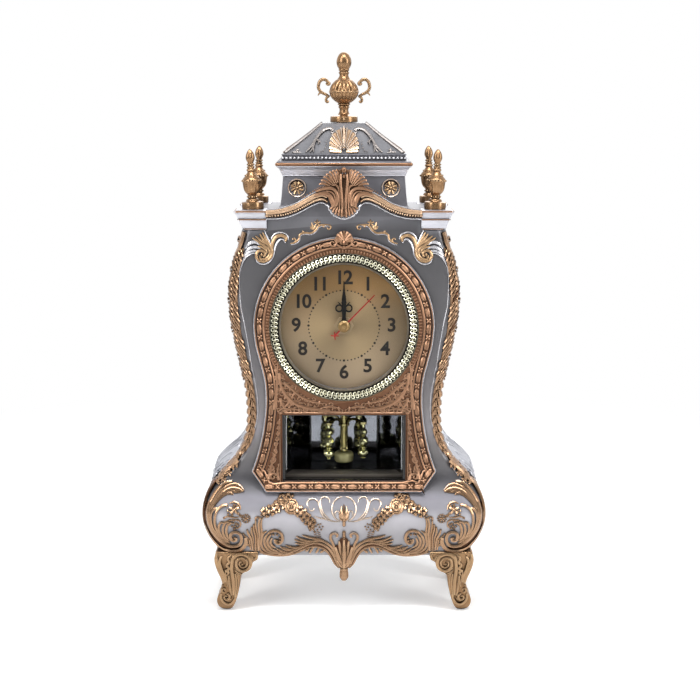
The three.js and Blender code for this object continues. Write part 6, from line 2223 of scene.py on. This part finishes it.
def makeBeds(form):
    # dark brown strands under the scroll ribs and along the middle of the bow: painted shade
    middle = [((a[0] + b[0]) / 2, (a[1] + b[1]) / 2)
              for a, b in zip(form["outer"][3:14], form["inner"][5:16])]
    scroll = bedsOf(makeScroll(form)[1:]) + [strand(middle, 1.5, -0.75, 0.6, 0.6)]
    shadePiece = layOn(carved("scrollShadeRods", scroll, steps=2), onFront)
    finishPair(shadePiece, "belly_painted_shade", scrollDeep)


def makeBelly(form):
    makeBeds(form)
    piece = layOn(carved("belly", makeScroll(form)), onFront)
    finishPair(piece, "belly_scroll", scrollGold, "corner_scroll")
    gold = makeGarland()
    ornament("belly_garlands", bothSides(gold) + makeFlowerMiddle(), onFront, scrollGold, "antique_gold",
             flat=0.85, steps=2)
    fine = makeFineScrolls()
    ornament("belly_fine_scrolls", bothSides(fine), onFront, paleGold, "silver_case")
    lines = makeBranches()
    leaves = carved("branches", bothSides(lines) + makeDrop())
    layOn(leaves, belowFront)
    # the apron's backing panel, in the dark brown of painted shade, so the gaps between its leaves read dark
    half = [(0, 27.4), (-3.1, 27.6), (-5.6, 31), (-7.6, 35), (-10.6, 38.4), (-14.4, 40.4), (-19, 40.6),
            (-23.4, 39.4), (-27.6, 37.2), (-32.4, 35.8), (-38.5, 35.4), (-47.4, 36.4), (-47.4, 38.4),
            (-38.6, 37.6), (-33, 38.6), (-27.4, 41.2), (-21.6, 43.8), (-15, 43.4), (-9, 39.6),
            (-6.2, 37.6), (-5, 41.4), (-3, 42), (-2.2, 45.8), (0, 47)]
    bed = cutPanel("bed", half + [(-x, z) for x, z in half[-2:0:-1]], -38.3, -37.1)
    for vertex in bed.data.vertices:
        z = max(vertex.co.z / mm, caseForm["footZ"] + 0.6)
        vertex.co.y += (frontAt(z) - frontAt(caseForm["footZ"] + 0.6)) * mm
    finishPiece(leaves, "apron_leaves", scrollGold)
    finishPiece(bed, "apron_bed", scrollDeep, standsFor=["apron_front"])


makeBelly(scrollForm)
print("belly ready")


# legs

legForm = {
    "outline": [(75, 37.6), (75.6, 34.5), (75.1, 30.8), (73.6, 25.3), (72, 21.2), (71.5, 18.3),
                (71.6, 16), (72.7, 13.8), (72.7, 11.6), (74.3, 9.4), (74.9, 6.4), (73.6, 2.4),
                (70.3, 0.1), (66.8, 0.8), (64.3, 5), (62.5, 10.5), (61.4, 16), (60.8, 21.2), (59.9, 23.6),
                (57.1, 25.6), (54.2, 28.2), (53.3, 31.2), (50.6, 33), (50, 37.6)],
    "depth": (14.2, 39.3), "middle": -27.5,
    "rolls": [([(74.5, 36.7), (74.8, 33.4), (74.2, 29.7), (72.8, 25.3), (71.3, 21.2), (70.9, 17.6)], 1.15,
               0.1),
              ([(71.4, 35.2), (72.9, 31.9), (72.3, 28.9), (71.5, 26), (70.2, 22.7), (69.7, 18.4)], 0.95,
               0.3),
              ([(69.4, 26.8), (69.4, 23.4), (68.7, 19), (68.6, 15.6)], 0.7, 0.3),
              ([(61.9, 36.5), (64.6, 34.8), (65.5, 30.8), (65.7, 26.4), (65.1, 21.2), (64.9, 16),
                (65.1, 10.5)], 1.05, 0.5),
              ([(63.8, 24.2), (63.4, 19.7), (63.6, 14.6), (64.3, 9.4)], 0.7, 0.3),
              ([(62.4, 23.1), (62.1, 19), (62.5, 13.8), (63.4, 9.4)], 0.5, 0),
              ([(67.6, 23), (67.5, 18), (66.9, 13.8), (66.4, 10.1)], 0.8, 0.3),
              ([(63.7, 27.8), (61.3, 25.8), (58.4, 25)], 0.5, 0.5),
              ([(63.7, 26.3), (61.6, 24.5), (59.5, 23.9)], 0.48, 0.4),
              ([(63.4, 24.9), (61.7, 23.4), (60.8, 23)], 0.42, 0.3),
              ([(72.4, 11.2), (72.3, 8.2), (70.4, 5.2), (67.5, 4.4), (65, 6.6), (63.6, 10.9)], 0.8, 0.2)],
    "volute": [(64.7, 33.8), (62.6, 35.9), (59.2, 36.3), (56, 35), (54.5, 32), (55, 28.7), (57.3, 26.4),
               (60.2, 26.2), (62.5, 28.2), (63, 30.8), (62.1, 33.2), (59.8, 34.2), (57.8, 33.4),
               (56.6, 31.2), (57.5, 28.9), (59.5, 28.4), (61, 29.7), (60.9, 31.4), (59.7, 31.9)],
    "scallop": [(65.6, 36.4), (67.8, 33.9), (67.2, 31.2), (68.5, 29.7), (67.3, 27.5), (68.6, 26),
                (67.6, 25.2), (69, 22.7)],
    "lobe": [(56.4, 36.9), (54, 34.9), (53, 33.2), (51.4, 33.7), (50.9, 35.6), (51.8, 36.9)],
}


def legShare(z):
    # how much of the knee's depth is left at one height; the foot is slimmer and rounds off below
    slim = min(max((32 - z) / 20, 0), 1)
    share = 1 - 0.42 * slim * slim * (3 - 2 * slim)
    toe = min(max((8 - z) / 8, 0), 1)
    return slim, share * math.sqrt(1 - 0.88 * toe * toe)


def makeLegBody(form):
    near, far = form["depth"]
    body = cutPanel("legBody", softLine(form["outline"], 66), -far, -near)
    bevelled(body, 1.1 * mm, 3, 50)
    for vertex in body.data.vertices:
        slim, share = legShare(vertex.co.z / mm)
        middle = form["middle"]
        vertex.co.y = (middle - 1.5 * slim + (vertex.co.y / mm - middle) * share) * mm
    return body


def legFront(x, z, h):
    slim, share = legShare(z)
    return (x, legForm["middle"] - 1.5 * slim - 11.8 * share - h * 0.85, z)


def legFlank(y, z, h):
    edge = [x for x, at in softLine(legForm["outline"][:13], 40) if at >= z]
    return ((edge[-1] if edge else 75) + h * 0.8 - 0.4, y, z)


def legCarving(form):
    lines = [strand(points, width, lift, 0.6, 0.6) for points, width, lift in form["rolls"]]
    lines.append((form["volute"], [0.8, 1.0, 1.1, 1.1, 1.05, 1.0, 0.95, 0.9, 0.85, 0.8, 0.75, 0.7, 0.65,
                                   0.6, 0.55, 0.5, 0.5, 0.45, 0.4], 0.4))
    lines += [strand(form["scallop"], 0.8, 0.5), strand(form["lobe"], 0.75, 0.3), bead(59.5, 30.4, 0.8, 1.0)]
    lines += [(curl(69.3, 9.2, 2.3, 0.6, 100, 500, 11),
               [0.6, 0.7, 0.75, 0.7, 0.65, 0.6, 0.55, 0.5, 0.5, 0.45, 0.4], 0.7),
              (curl(70.6, 13.6, 1.5, 0.5, -100, 230, 8), [0.5, 0.6, 0.6, 0.55, 0.5, 0.45, 0.4, 0.4], 0.7),
              bead(66.7, 8.4, 0.7, 0.9), bead(71.4, 16.6, 0.7, 0.8)]
    return layOn(carved("legRelief", lines, flat=0.9), legFront)


def flankCarving():
    lines = []
    for n in range(5):
        y = -36.6 + 4.4 * n
        lines.append(([(y, 34.4), (-30 + (y + 30) * 0.62, 20), (-30 + (y + 30) * 0.55, 12),
                       (-30 + (y + 30) * 0.6, 5)], [0.9, 0.8, 0.6, 0.4], 0.1))
    for tip in ((-34, 24), (-30, 22.4), (-24, 22.4), (-19.6, 24)):
        lines.append(leafFinger((-27, 34.6), tip, 2.2, 0.05, 0.6))
    return layOn(carved("legFlank", lines, flat=0.9), legFlank)


def makeLegs(form):
    leg = joined(makeLegBody(form), legCarving(form), flankCarving())
    for end, way in (("front", 1), ("rear", -1)):
        for label, sign in (("right", 1), ("left", -1)):
            piece = copied(leg)
            piece.scale = (sign, way, 1)
            cleaned(settle(piece))
            finishPiece(piece, "leg_scroll_" + end + "_" + label, antiqueGold,
                        standsFor=["leg_" + end + "_" + label])
    scrap(leg)


makeLegs(legForm)
print("legs ready")


# pendulum compartment

rotorForm = {
    "axis": (0, -5), "arm": 14.6, "firstTurn": 51.5, "low": 87.8,
    "ball": [(0, 0), (1.3, 0), (1.4, 0.4), (1.1, 0.8), (2.2, 1.3), (3, 2.3), (3.25, 3.4), (3, 4.5),
             (2.2, 5.4), (1.2, 5.9), (1.1, 6.3), (2.4, 6.7), (2.6, 7), (2.2, 7.3), (0, 7.4)],
    "bulb": [(0, 7.2), (1.2, 7.4), (2.8, 8.8), (3.2, 10.4), (2.9, 12), (2, 13.2), (1.3, 13.8),
             (2.1, 14.6), (2.6, 15.8), (2.2, 17), (1.4, 18), (0.8, 18.8), (0.8, 20.3), (0, 20.3)],
    "nut": [(0, 83.7), (4.9, 83.7), (5.6, 84.4), (5.8, 85.4), (5.8, 88), (5.5, 89), (4.6, 89.8),
            (0, 89.8)],
}


def makeRotor(form):
    ball = turnedPiece("ball", form["ball"], steps=24)
    bulb = turnedPiece("bulb", form["bulb"], steps=12)
    levels = sorted({round(vertex.co.z / mm, 2) for vertex in bulb.data.vertices})
    for vertex in bulb.data.vertices:
        turn = math.radians(15 * (levels.index(round(vertex.co.z / mm, 2)) % 2))
        x, y = vertex.co.x, vertex.co.y
        vertex.co.x = x * math.cos(turn) - y * math.sin(turn)
        vertex.co.y = x * math.sin(turn) + y * math.cos(turn)
    x0, y0 = form["axis"]
    for n in range(4):
        turn = math.radians(form["firstTurn"] + 90 * n)
        place = Vector((x0 + form["arm"] * math.cos(turn), y0 + form["arm"] * math.sin(turn),
                        form["low"])) * mm
        name = "rotor_spindle_%d" % (n + 1)
        lower, upper = copied(ball), copied(bulb)
        lower.location = upper.location = place
        finishPiece(lower, name + "_ball", rotorGold, body="rotor", angle=50)
        finishPiece(upper, name + "_facets", rotorGold, body="rotor", standsFor=[name],
                    angle=8)
    scrap(ball, bulb)
    nut = turnedPiece("nut", form["nut"], (x0, y0, 0), steps=24)
    finishPiece(nut, "rotor_nut_faceted", rotorBrass, body="rotor",
                standsFor=["rotor_nut"], angle=12)


def makeWindowFrame():
    halfWindow, lowZ, highZ = surroundForm["window"]
    outer = halfWindow - 0.05
    frame = slab("frame", outer, lowZ + 0.05, highZ - 0.05, surroundForm["front"] + 0.5, -28.1)
    room = slab("room", 34.2, lowZ + 0.6, highZ - 0.5, -60, -20)
    cutAway(frame, room)
    scrap(room)
    finishPiece(frame, "window_frame", blackGloss)
    # a sill at the front of the compartment floor, paler than the black floor behind: partly its own grey,
    # partly painted light falling through the window
    sill = bevelled(slab("sill", 34.6, 79.6, 81.2, -27.9, -15), 0.3 * mm)
    finishPiece(sill, "window_sill", litSillGrey)
    data = bpy.data.curves.new("windowStrip", 'CURVE')
    data.dimensions = '3D'
    data.bevel_depth = 0.45 * mm
    data.bevel_resolution = 1
    spline = data.splines.new('POLY')
    spline.points.add(3)
    for point, (x, z) in zip(spline.points, ((-37, 78.2), (37, 78.2), (37, 119.9), (-37, 119.9))):
        point.co = (x * mm, (surroundForm["front"] - leanAt(z)) * mm, z * mm, 1)
    spline.use_cyclic_u = True
    piece = bpy.data.objects.new("windowStrip", data)
    scene.collection.objects.link(piece)
    pick(piece)
    bpy.ops.object.convert(target='MESH')
    finishPiece(bpy.context.object, "window_strip", copperGold)


makeRotor(rotorForm)
makeWindowFrame()
print("compartment ready")


# flanks

def onFlank(y, z, h):
    # a place on the left flank; the drawing's X runs along the clock's depth
    low, high = frontAt(z) + caseForm["corner"], rearAt(z) - caseForm["corner"]
    t = min(max((y - low) / (high - low), 0), 1)
    out = flankOut(z) * (1 - (2 * t - 1) ** 2) ** 0.7
    return (-(halfAt(z) + out + h), y, z)


def flankShield():
    # a pale cushion between the two corner trims
    pick()
    bpy.ops.mesh.primitive_grid_add(x_subdivisions=28, y_subdivisions=20, size=2)
    piece = bpy.context.object
    for vertex in piece.data.vertices:
        u, v = vertex.co.x, vertex.co.y
        y, z = 24 * u * math.sqrt(1 - v * v / 2), 88.5 + 14.5 * v * math.sqrt(1 - u * u / 2)
        away = min(u * u + v * v - u * u * v * v, 1)
        vertex.co = Vector(onFlank(y, z, 0.7 * (1 - away ** 3) - 0.1)) * mm
    modifier = piece.modifiers.new("wall", 'SOLIDIFY')
    modifier.thickness = 0.5 * mm
    modifier.offset = -1
    applyAll(piece)
    return cleaned(piece)


def flankLeaves():
    half = []
    for base, heel, tip, width in (((0, 78), (-3.4, 86), (-2.6, 96.5), 1.5),
                                   ((-1, 77), (-7, 84), (-8.4, 94.6), 1.6),
                                   ((-2, 76.4), (-11, 81.4), (-14, 90.8), 1.6),
                                   ((-3, 76), (-13.4, 78), (-18.6, 85.6), 1.5),
                                   ((-3, 75.6), (-12, 74.6), (-19.6, 78.6), 1.3)):
        half += [strand([base, heel, tip], width, 1.0, 0.4, 0.6),
                 strand([base, heel, tip], 0.4, 2.0, 0.4, 0.6)]
        half.append((curl(tip[0] - 1.2, tip[1] + 0.4, 1.3, 0.5, 0, 330, 7),
                     [0.7, 0.7, 0.65, 0.6, 0.5, 0.5, 0.4], 1.6))
    half.append(strand([(-22.4, 82), (-20, 92), (-13, 99.6), (-5, 102.4), (0, 102.8)], 0.8, 0.9))
    half += frond([(-3, 76), (-14, 78), (-20, 84), (-21, 90)], 3.4, 1.6, 8, 50, 1.2)
    half += beadLine([(-21, 80), (-18.4, 90.6), (-12, 97.8), (-4.6, 100.6)], 22, 0.6, 1.0)
    return [strand([(0, 76), (0, 86), (0, 99)], 1.5, 1.1, 0.5, 0.5), bead(0, 77, 2, 1.4)] + bothSides(half)


def makeFlanks():
    pale = joined(flankShield(), layOn(carved("flank", flankLeaves()), onFlank))
    finishPair(pale, "flank_leaves", flankSilver)
    half = [([(-35.6 + (x + 83) * 0.72, z) for x, z in points], widths, lift)
            for points, widths, lift in makeScroll(scrollForm)]
    gold = layOn(carved("flankScrolls", bothSides(half), steps=2), onFlank)
    finishPair(gold, "flank_scrolls", scrollGold)


makeFlanks()
print("flanks ready")
